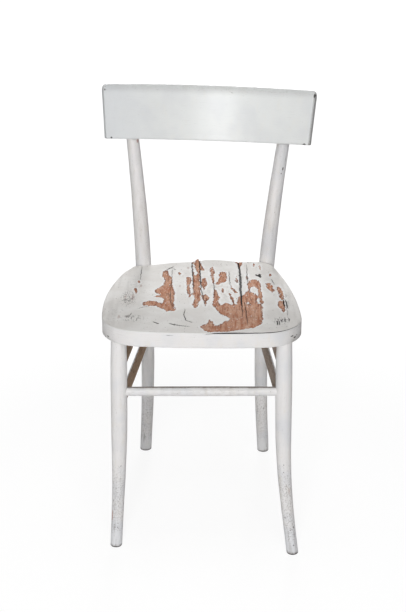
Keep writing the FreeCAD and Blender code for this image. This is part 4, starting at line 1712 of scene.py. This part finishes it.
@dataclass
class BackPanel:
    """Moulded plywood back: bent about an upright axis, raked, crowned and rounded."""

    post: RearLeg
    bottom: float = 720.0
    height: float = 111.6
    crown: float = 4.0
    half_bottom: float = 219.4
    half_top: float = 228.7
    thickness: float = 11.0
    radius: float = 450.0
    rake: float = 10.4
    roll: float = 1.5
    top_corner_radius: float = 8.0
    low_corner_radius: float = 2.5
    edge_rounding: float = 1.5
    top_rounding: float = 5.0
    top_rounding_height: float = 9.0
    notch: float = 2.5
    stations: int = 520
    unevenness: float = 0.2
    chips: Points = (
        (-226, 101, 1.6, 1.8), (-217, 2.5, 2.4, 1.6), (227, 102, 1.8, 4.0), (217, 2, 4.0, 1.5),
        (-111, 104, 3.0, 0.6), (86, 107, 2.5, 0.6), (47, 102, 1.2, 0.8),
    )

    def place(self) -> tuple[Array, Array]:
        """Turn and shift that set the panel on the posts.

        Returns:
            A 3 x 3 turn and the shift after it.
        """
        middle, rake = self.height / 2, math.radians(self.rake)
        height = np.array(self.bottom + middle * math.cos(rake))
        shift = float(self.post.shift(height))
        post_x, post_y = self.post.axis(height) - np.array([shift, 0])
        hold = self.radius + self.thickness + float(self.post.girth(height)) - self.notch
        depth = math.sqrt(hold**2 - post_x**2) - self.radius
        set_back = post_y - (depth + middle * math.sin(rake)) / math.cos(rake)
        raked = Matrix.Rotation(-rake, 3, "X")
        turn = np.array(raked @ Matrix.Rotation(math.radians(self.roll), 3, "Y"))
        up = np.array([0, 0, middle])
        return turn, np.array([shift, set_back, self.bottom]) + np.array(raked) @ up - turn @ up

    def bent(self, along: Array, depth: Array, height: Array) -> Array:
        """Points of the panel by the share along it, the depth from its front and the height.

        Args:
            along: share of the half length, from -1 at the left end to 1.
            depth: distance behind the front face.
            height: height over the lower edge.

        Returns:
            The points in the chair's drawing.
        """
        half = self.half_bottom + (self.half_top - self.half_bottom) * height / self.height
        angle, reach = along * half / self.radius, self.radius + depth
        local = reach * np.sin(angle), reach * np.cos(angle) - self.radius, height
        turn, offset = self.place()
        return np.stack(local, -1) @ turn.T + offset

    def pushed_behind(self, points: Array) -> Array:
        """Points of a post that lie inside the panel's bend, moved out to its back face.

        Args:
            points: the post's points.

        Returns:
            The points, moved where they have to be.
        """
        turn, offset = self.place()
        local = (points - offset) @ turn
        middle, z = np.array([0, -self.radius]), local[..., 2]
        plan = middle + pushed_out(local[..., :2] - middle, self.radius + self.thickness, z > 0)
        return raised(plan, z) @ turn.T + offset

    @staticmethod
    def drawn_in(gap: Array, radius: float) -> Array:
        """Inset of a round corner at a distance from the end: radius less the circle's height."""
        return radius - np.sqrt(radius**2 - np.clip(radius - gap, 0, radius) ** 2)

    def section(self, share: Array) -> tuple[Array, Array]:
        """Rounded section at stations along the panel; near the ends it draws in for the corners.

        The back half is the front half turned round the middle of the thickness.

        Args:
            share: share of the half length at each station, as a column.

        Returns:
            Depth from the front face and height of each point.
        """
        gap = (1 - np.abs(share)) * self.half_top
        thin, low, corner = (
            self.drawn_in(gap, radius)
            for radius in (self.edge_rounding, self.low_corner_radius, self.top_corner_radius)
        )
        top = self.height + self.crown * (1 - share**2) - corner
        turn = np.linspace(0, math.pi / 2, 7)
        swing, drop = 1 - np.sin(turn), 1 - np.cos(turn)
        edge, upper, tall = self.edge_rounding, self.top_rounding, self.top_rounding_height
        side = low + edge + (top - low - edge - tall) * np.linspace(0, 1, 50)[1:-1]
        depth = np.concatenate([thin + edge * swing, thin + 0 * side, thin + upper * drop], 1)
        height = np.concatenate([low + edge * drop, side, top - tall * swing], 1)
        depth = np.minimum(depth, self.thickness / 2)
        depth = np.concatenate([depth, self.thickness - depth[:, ::-1]], 1)
        return depth, np.concatenate([height, height[:, ::-1]], 1)

    def surface(self) -> Surface:
        """The section carried along the panel, with a slightly uneven skin.

        Returns:
            The closed surface with its layers.
        """
        ends = self.top_corner_radius * (1 - np.cos(np.linspace(0, math.pi / 2, 18)))
        left = ends - self.half_top
        inner = np.linspace(left[-1], -left[-1], self.stations)[1:-1]
        share = np.concatenate([left, inner, -left[::-1]])[:, None] / self.half_top
        depth, height = self.section(share)
        x = share * self.half_top + 0 * depth
        wave = lattice_noise(share * 7 + 40, height / 45, 61)
        face = smooth(height, 4, 12) * smooth(height, self.height - 4, self.height - 12)
        way = np.where(depth < self.thickness / 2, 1, -1)
        skin = way * face * self.unevenness * (wave + 1)
        streak = lattice_noise(share * 14 + 50, height / 60, 62)
        marks = oval_depth(self.chips, x, height)
        # rim darkens the top band, as painted shade, and the lower edge; the streaks and the ends
        # are dirt
        rim = 3.6 * smooth(height, 92, 112) + smooth(height, 5, 1)
        left_end, right_end = smooth(share, -0.991, -0.997), smooth(share, 0.985, 0.991)
        dirt = 0.05 + 0.03 * streak + 0.15 * rim + 0.3 * left_end + 0.8 * right_end
        layers = {
            **UNMARKED,
            Layer.STRAIGHT: np.stack([depth, height, x], -1),
            Layer.GRIME: np.clip(dirt, 0, 1),
            Layer.BARE: -4.0 + 0.8 * left_end + 2.6 * right_end,
            Layer.CHIP: np.where(depth < self.thickness * 0.7, marks, FAR),
            # The cool tint on the panel's left part is painted shade
            Layer.TINT: 0.4 * smooth(share, -0.35, -0.95),
        }
        return closed_tube(self.bent(share, depth + skin, height), layers)

    def build(self, shop: Workshop, material: Material) -> None:
        """Make the back panel."""
        nodes = ("back_panel",)
        shop.piece("back_panel_painted", self.surface(), material, Slot.PAINTED_PLYWOOD, nodes)


# Fasteners


@dataclass(frozen=True)
class Fasteners:
    """Wedges and steel parts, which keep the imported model's meshes and get their finishes."""

    wood_nodes: tuple[str, ...] = ("front_leg_wedges",)
    steel_nodes: tuple[str, ...] = (
        "back_panel_screws", "seat_bolts", "seat_bolt_washers", "seat_bolt_nuts",
        "seat_panel_nails",
    )

    def dress(self, wood: Material, steel: Material) -> None:
        """Give each node its finish.

        Args:
            wood: finish of the wedges.
            steel: finish of the steel parts.
        """
        for names, material in ((self.wood_nodes, wood), (self.steel_nodes, steel)):
            for name in names:
                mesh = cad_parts[name].data
                mesh.materials.clear()
                mesh.materials.append(material)
                LOG.info("%s: finish %s", name, material.name)


# Studio


@dataclass(frozen=True)
class Lamp:
    """One square soft lamp: its place and side in metres, and its power in watts."""

    name: str
    at: Factors
    size: float
    power: float

    def place(self, aim: Factors) -> None:
        """Add the lamp to the scene.

        Args:
            aim: point that it shines at.
        """
        data = bpy.data.lights.new(self.name, "AREA")
        data.size, data.energy = self.size, self.power
        lamp = placed(self.name, data)
        lamp.location = self.at
        way = Vector(aim) - Vector(self.at)
        lamp.rotation_euler = way.to_track_quat("-Z", "Y").to_euler()


@dataclass(frozen=True)
class Studio:
    """Camera, lamps, floor and pale surroundings.

    Angles are in radians. The aim and the floor's reach are in metres, as the lamps are.
    """

    camera_at: Factors = (43.78, -2480.0, 1367.0)
    yaw: float = -0.01777
    pitch: float = 0.3604
    roll: float = 0.00299
    focal_pixels: float = 1304.0
    frame_height: float = 612.0
    sensor: float = 36.0
    world_strength: float = 0.13
    aim: Factors = (0.0, 0.0, 0.5)
    lamps: tuple[Lamp, ...] = (
        Lamp("front", (-0.38, -3.6, 1.5), 0.75, 65.0),
        Lamp("key", (0.55, -3.6, 3.6), 2.2, 47.0),
        Lamp("fill", (-2.2, -0.8, 1.4), 1.5, 2.5),
        Lamp("top", (0.0, 0.1, 2.5), 1.2, 12.0),
        Lamp("back", (0.0, 3.0, 1.6), 0.8, 26.0),
    )
    floor_colour: Colour = (243, 243, 243)
    floor_cloud: Colour = (238, 238, 238)
    floor_glow: float = 0.8
    floor_glow_strength: float = 1.08
    shadow_reach: tuple[float, float] = (500.0, 1600.0)
    floor_reach: float = 12.0

    def set_camera(self, shop: Workshop) -> None:
        """Place the camera as the photograph was taken.

        Args:
            shop: gives the camera's place in the frame.
        """
        data = bpy.data.cameras.new("camera")
        data.sensor_width, data.sensor_fit = self.sensor, "AUTO"
        data.lens = self.focal_pixels * self.sensor / self.frame_height
        (cos_yaw, sin_yaw), (cos_pitch, sin_pitch), (cos_roll, sin_roll) = (
            unit(angle).tolist() for angle in (self.yaw, self.pitch, self.roll)
        )
        forward = Vector((sin_yaw * cos_pitch, cos_yaw * cos_pitch, -sin_pitch))
        right = Vector((cos_yaw, -sin_yaw, 0))
        up = right.cross(forward)
        rolled = cos_roll * right + sin_roll * up, cos_roll * up - sin_roll * right, -forward
        place = Matrix.Translation(Vector(shop.moved(np.array(self.camera_at))))
        camera = placed("camera", data)
        camera.matrix_world = place @ Matrix(rolled).transposed().to_4x4()
        bpy.context.scene.camera = camera

    def set_light(self) -> None:
        """Even white surroundings with soft lamps before, beside, above and behind the chair."""
        bpy.context.scene.view_settings.view_transform = "Standard"
        world = bpy.data.worlds.new("surroundings")
        bpy.context.scene.world = world
        world.use_nodes = True
        nodes = NodeTree(world.node_tree)
        seen, glossy, through = (
            nodes.add("ShaderNodeLightPath", f"Is {way} Ray", {}, {})
            for way in ("Camera", "Glossy", "Transmission")
        )
        shown = seen.greater(glossy).greater(through) * (1 - self.world_strength)
        inputs = {"Color": (1, 1, 1, 1), "Strength": shown + self.world_strength}
        lit = nodes.add("ShaderNodeBackground", "Background", {}, inputs)
        nodes.add("ShaderNodeOutputWorld", None, {}, {"Surface": lit})
        for lamp in self.lamps:
            lamp.place(self.aim)

    def lay_floor(self) -> None:
        """A pale floor that shows the chair's shadow against a white surround."""
        nodes = FinishNodes("pale_floor")
        grey = nodes.mix(self.floor_colour, self.floor_cloud, nodes.noise(nodes.place(), 400))
        diffuse = nodes.add("ShaderNodeBsdfDiffuse", "BSDF", {}, {"Color": grey})
        strength = {"Strength": self.floor_glow_strength}
        glow = nodes.add("ShaderNodeEmission", "Emission", {}, strength)
        path = nodes.add("ShaderNodeLightPath", "Is Camera Ray", {}, {})
        away = nodes.vector("LENGTH", {0: nodes.place()}, "Value")
        share = self.floor_glow + away.step(*self.shadow_reach) * (1 - self.floor_glow)
        inputs = {"Fac": path * share, 1: diffuse, 2: glow}
        mesh = bpy.data.meshes.new("floor")
        reach = self.floor_reach
        corners = [(-reach, -reach, 0), (reach, -reach, 0), (reach, reach, 0), (-reach, reach, 0)]
        mesh.from_pydata(corners, [], [(0, 1, 2, 3)])
        mesh.materials.append(nodes.shown(nodes.add("ShaderNodeMixShader", "Shader", {}, inputs)))
        floor = placed("floor", mesh)


# The chair

# Ovals of the legs' chips and stains: angle from the front to the right, height, half sizes
LEG_CHIPS = {
    ("front", Side.LEFT): (
        (19, 165, 0.9, 1.2), (18, 138, 0.8, 1.0), (-48, 92, 1.0, 1.6), (70, 84, 0.9, 1.4),
        (10, 40, 0.8, 1.1),
    ),
    ("front", Side.RIGHT): (
        (-4, 172, 0.9, 1.2), (-7, 157, 0.9, 1.2), (21, 151, 0.7, 0.9), (-33, 68, 1.0, 1.6),
        (48, 50, 1.1, 1.7), (3, 46, 0.9, 1.2), (20, 18, 1.0, 1.4),
    ),
    ("rear", Side.LEFT): ((-19, 72, 0.9, 1.3),),
    ("rear", Side.RIGHT): (
        (23, 121, 1.0, 1.4), (-45, 111, 1.0, 1.3), (30, 667, 1.5, 3.4), (20, 657, 1.2, 1.6),
        (44, 685, 0.5, 7.0),
    ),
}
LEG_STAINS = {
    ("front", Side.LEFT): ((-57, 62, 2.2, 11.0),),
    ("front", Side.RIGHT): ((30, 119, 0.7, 6.0),),
    ("rear", Side.LEFT): ((51, 722, 3.0, 4.0),),
    ("rear", Side.RIGHT): (),
}


def chair_legs(outline: SeatOutline) -> dict[tuple[str, Side], Leg]:
    """The four legs, each with its own bend, marks and seed.

    Args:
        outline: the seat's outline.

    Returns:
        The legs by kind and side.
    """
    rear = {"foot_tint": 0.25, "post_grime": 0.2, "back": BackPanel(RearLeg(Side.RIGHT, outline))}
    kinds = (
        (FrontLeg, "front", Side.LEFT, {"kick": 39.2, "splay": 4.3}),
        (FrontLeg, "front", Side.RIGHT, {"kick": 59.6, "splay": 18.1}),
        (RearLeg, "rear", Side.LEFT, rear),
        (RearLeg, "rear", Side.RIGHT, rear),
    )
    legs = {}
    for number, (make, kind, side, details) in enumerate(kinds):
        key, seed = (kind, side), Leg.seed + 3 * number
        marks = {"chips": LEG_CHIPS[key], "stains": LEG_STAINS[key]}
        legs[key] = make(side, outline, seed=seed, **marks, **details)
    return legs


def main() -> None:
    """Build the chair piece by piece."""
    logging.basicConfig(level=logging.INFO, format="%(name)s: %(message)s")
    outline = SeatOutline()
    low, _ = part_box("seat_panel")
    shop = Workshop((low.x / MM + outline.left.half_width, low.y / MM + outline.front))
    studio = Studio()
    studio.set_camera(shop)
    studio.set_light()
    studio.lay_floor()

    bar_paint = OldPaint("old_bar_paint").material()
    # The back panel's paint darkens its top band with painted shade
    panel_paint = OldPaint(
        "old_back_paint", white=(225, 227, 226), cool=(217, 219, 220), warm=(225, 225, 221),
        rough=0.3, shine=0.26, brush_depth=0.3, film=0.2, film_cover=0.15, dirt_and_painted_shade=0.36,
    ).material()
    rubbed_woods = {
        Side.LEFT: ((166, 134, 103), (112, 84, 62)),
        Side.RIGHT: ((156, 138, 124), (104, 86, 74)),
    }
    rubbed_paints = {
        side: OldPaint(
            f"rubbed_{side.name.lower()}_paint", wood=wood, wood_dark=dark, wear_edge=0.9,
            wear_cover=0.92,
        ).material()
        for side, (wood, dark) in rubbed_woods.items()
    }
    grey_worn_paint = OldPaint(
        "grey_worn_paint", wood=(136, 127, 119), wood_dark=(100, 90, 82), wear_edge=1.2,
        wear_cover=0.85,
    ).material()

    SeatPanel(outline).build(shop, SeatPaint("worn_seat_paint").material())
    SeatRing(outline).build(shop, bar_paint)
    legs = chair_legs(outline)
    for leg in legs.values():
        leg.build(shop, bar_paint)
    Stretchers(legs).build(shop, grey_worn_paint, rubbed_paints)
    legs["rear", Side.RIGHT].back.build(shop, panel_paint)
    Fasteners().dress(PlainWood("dry_wood").material(), DullSteel("dull_steel").material())


if __name__ == "__main__":
    main()
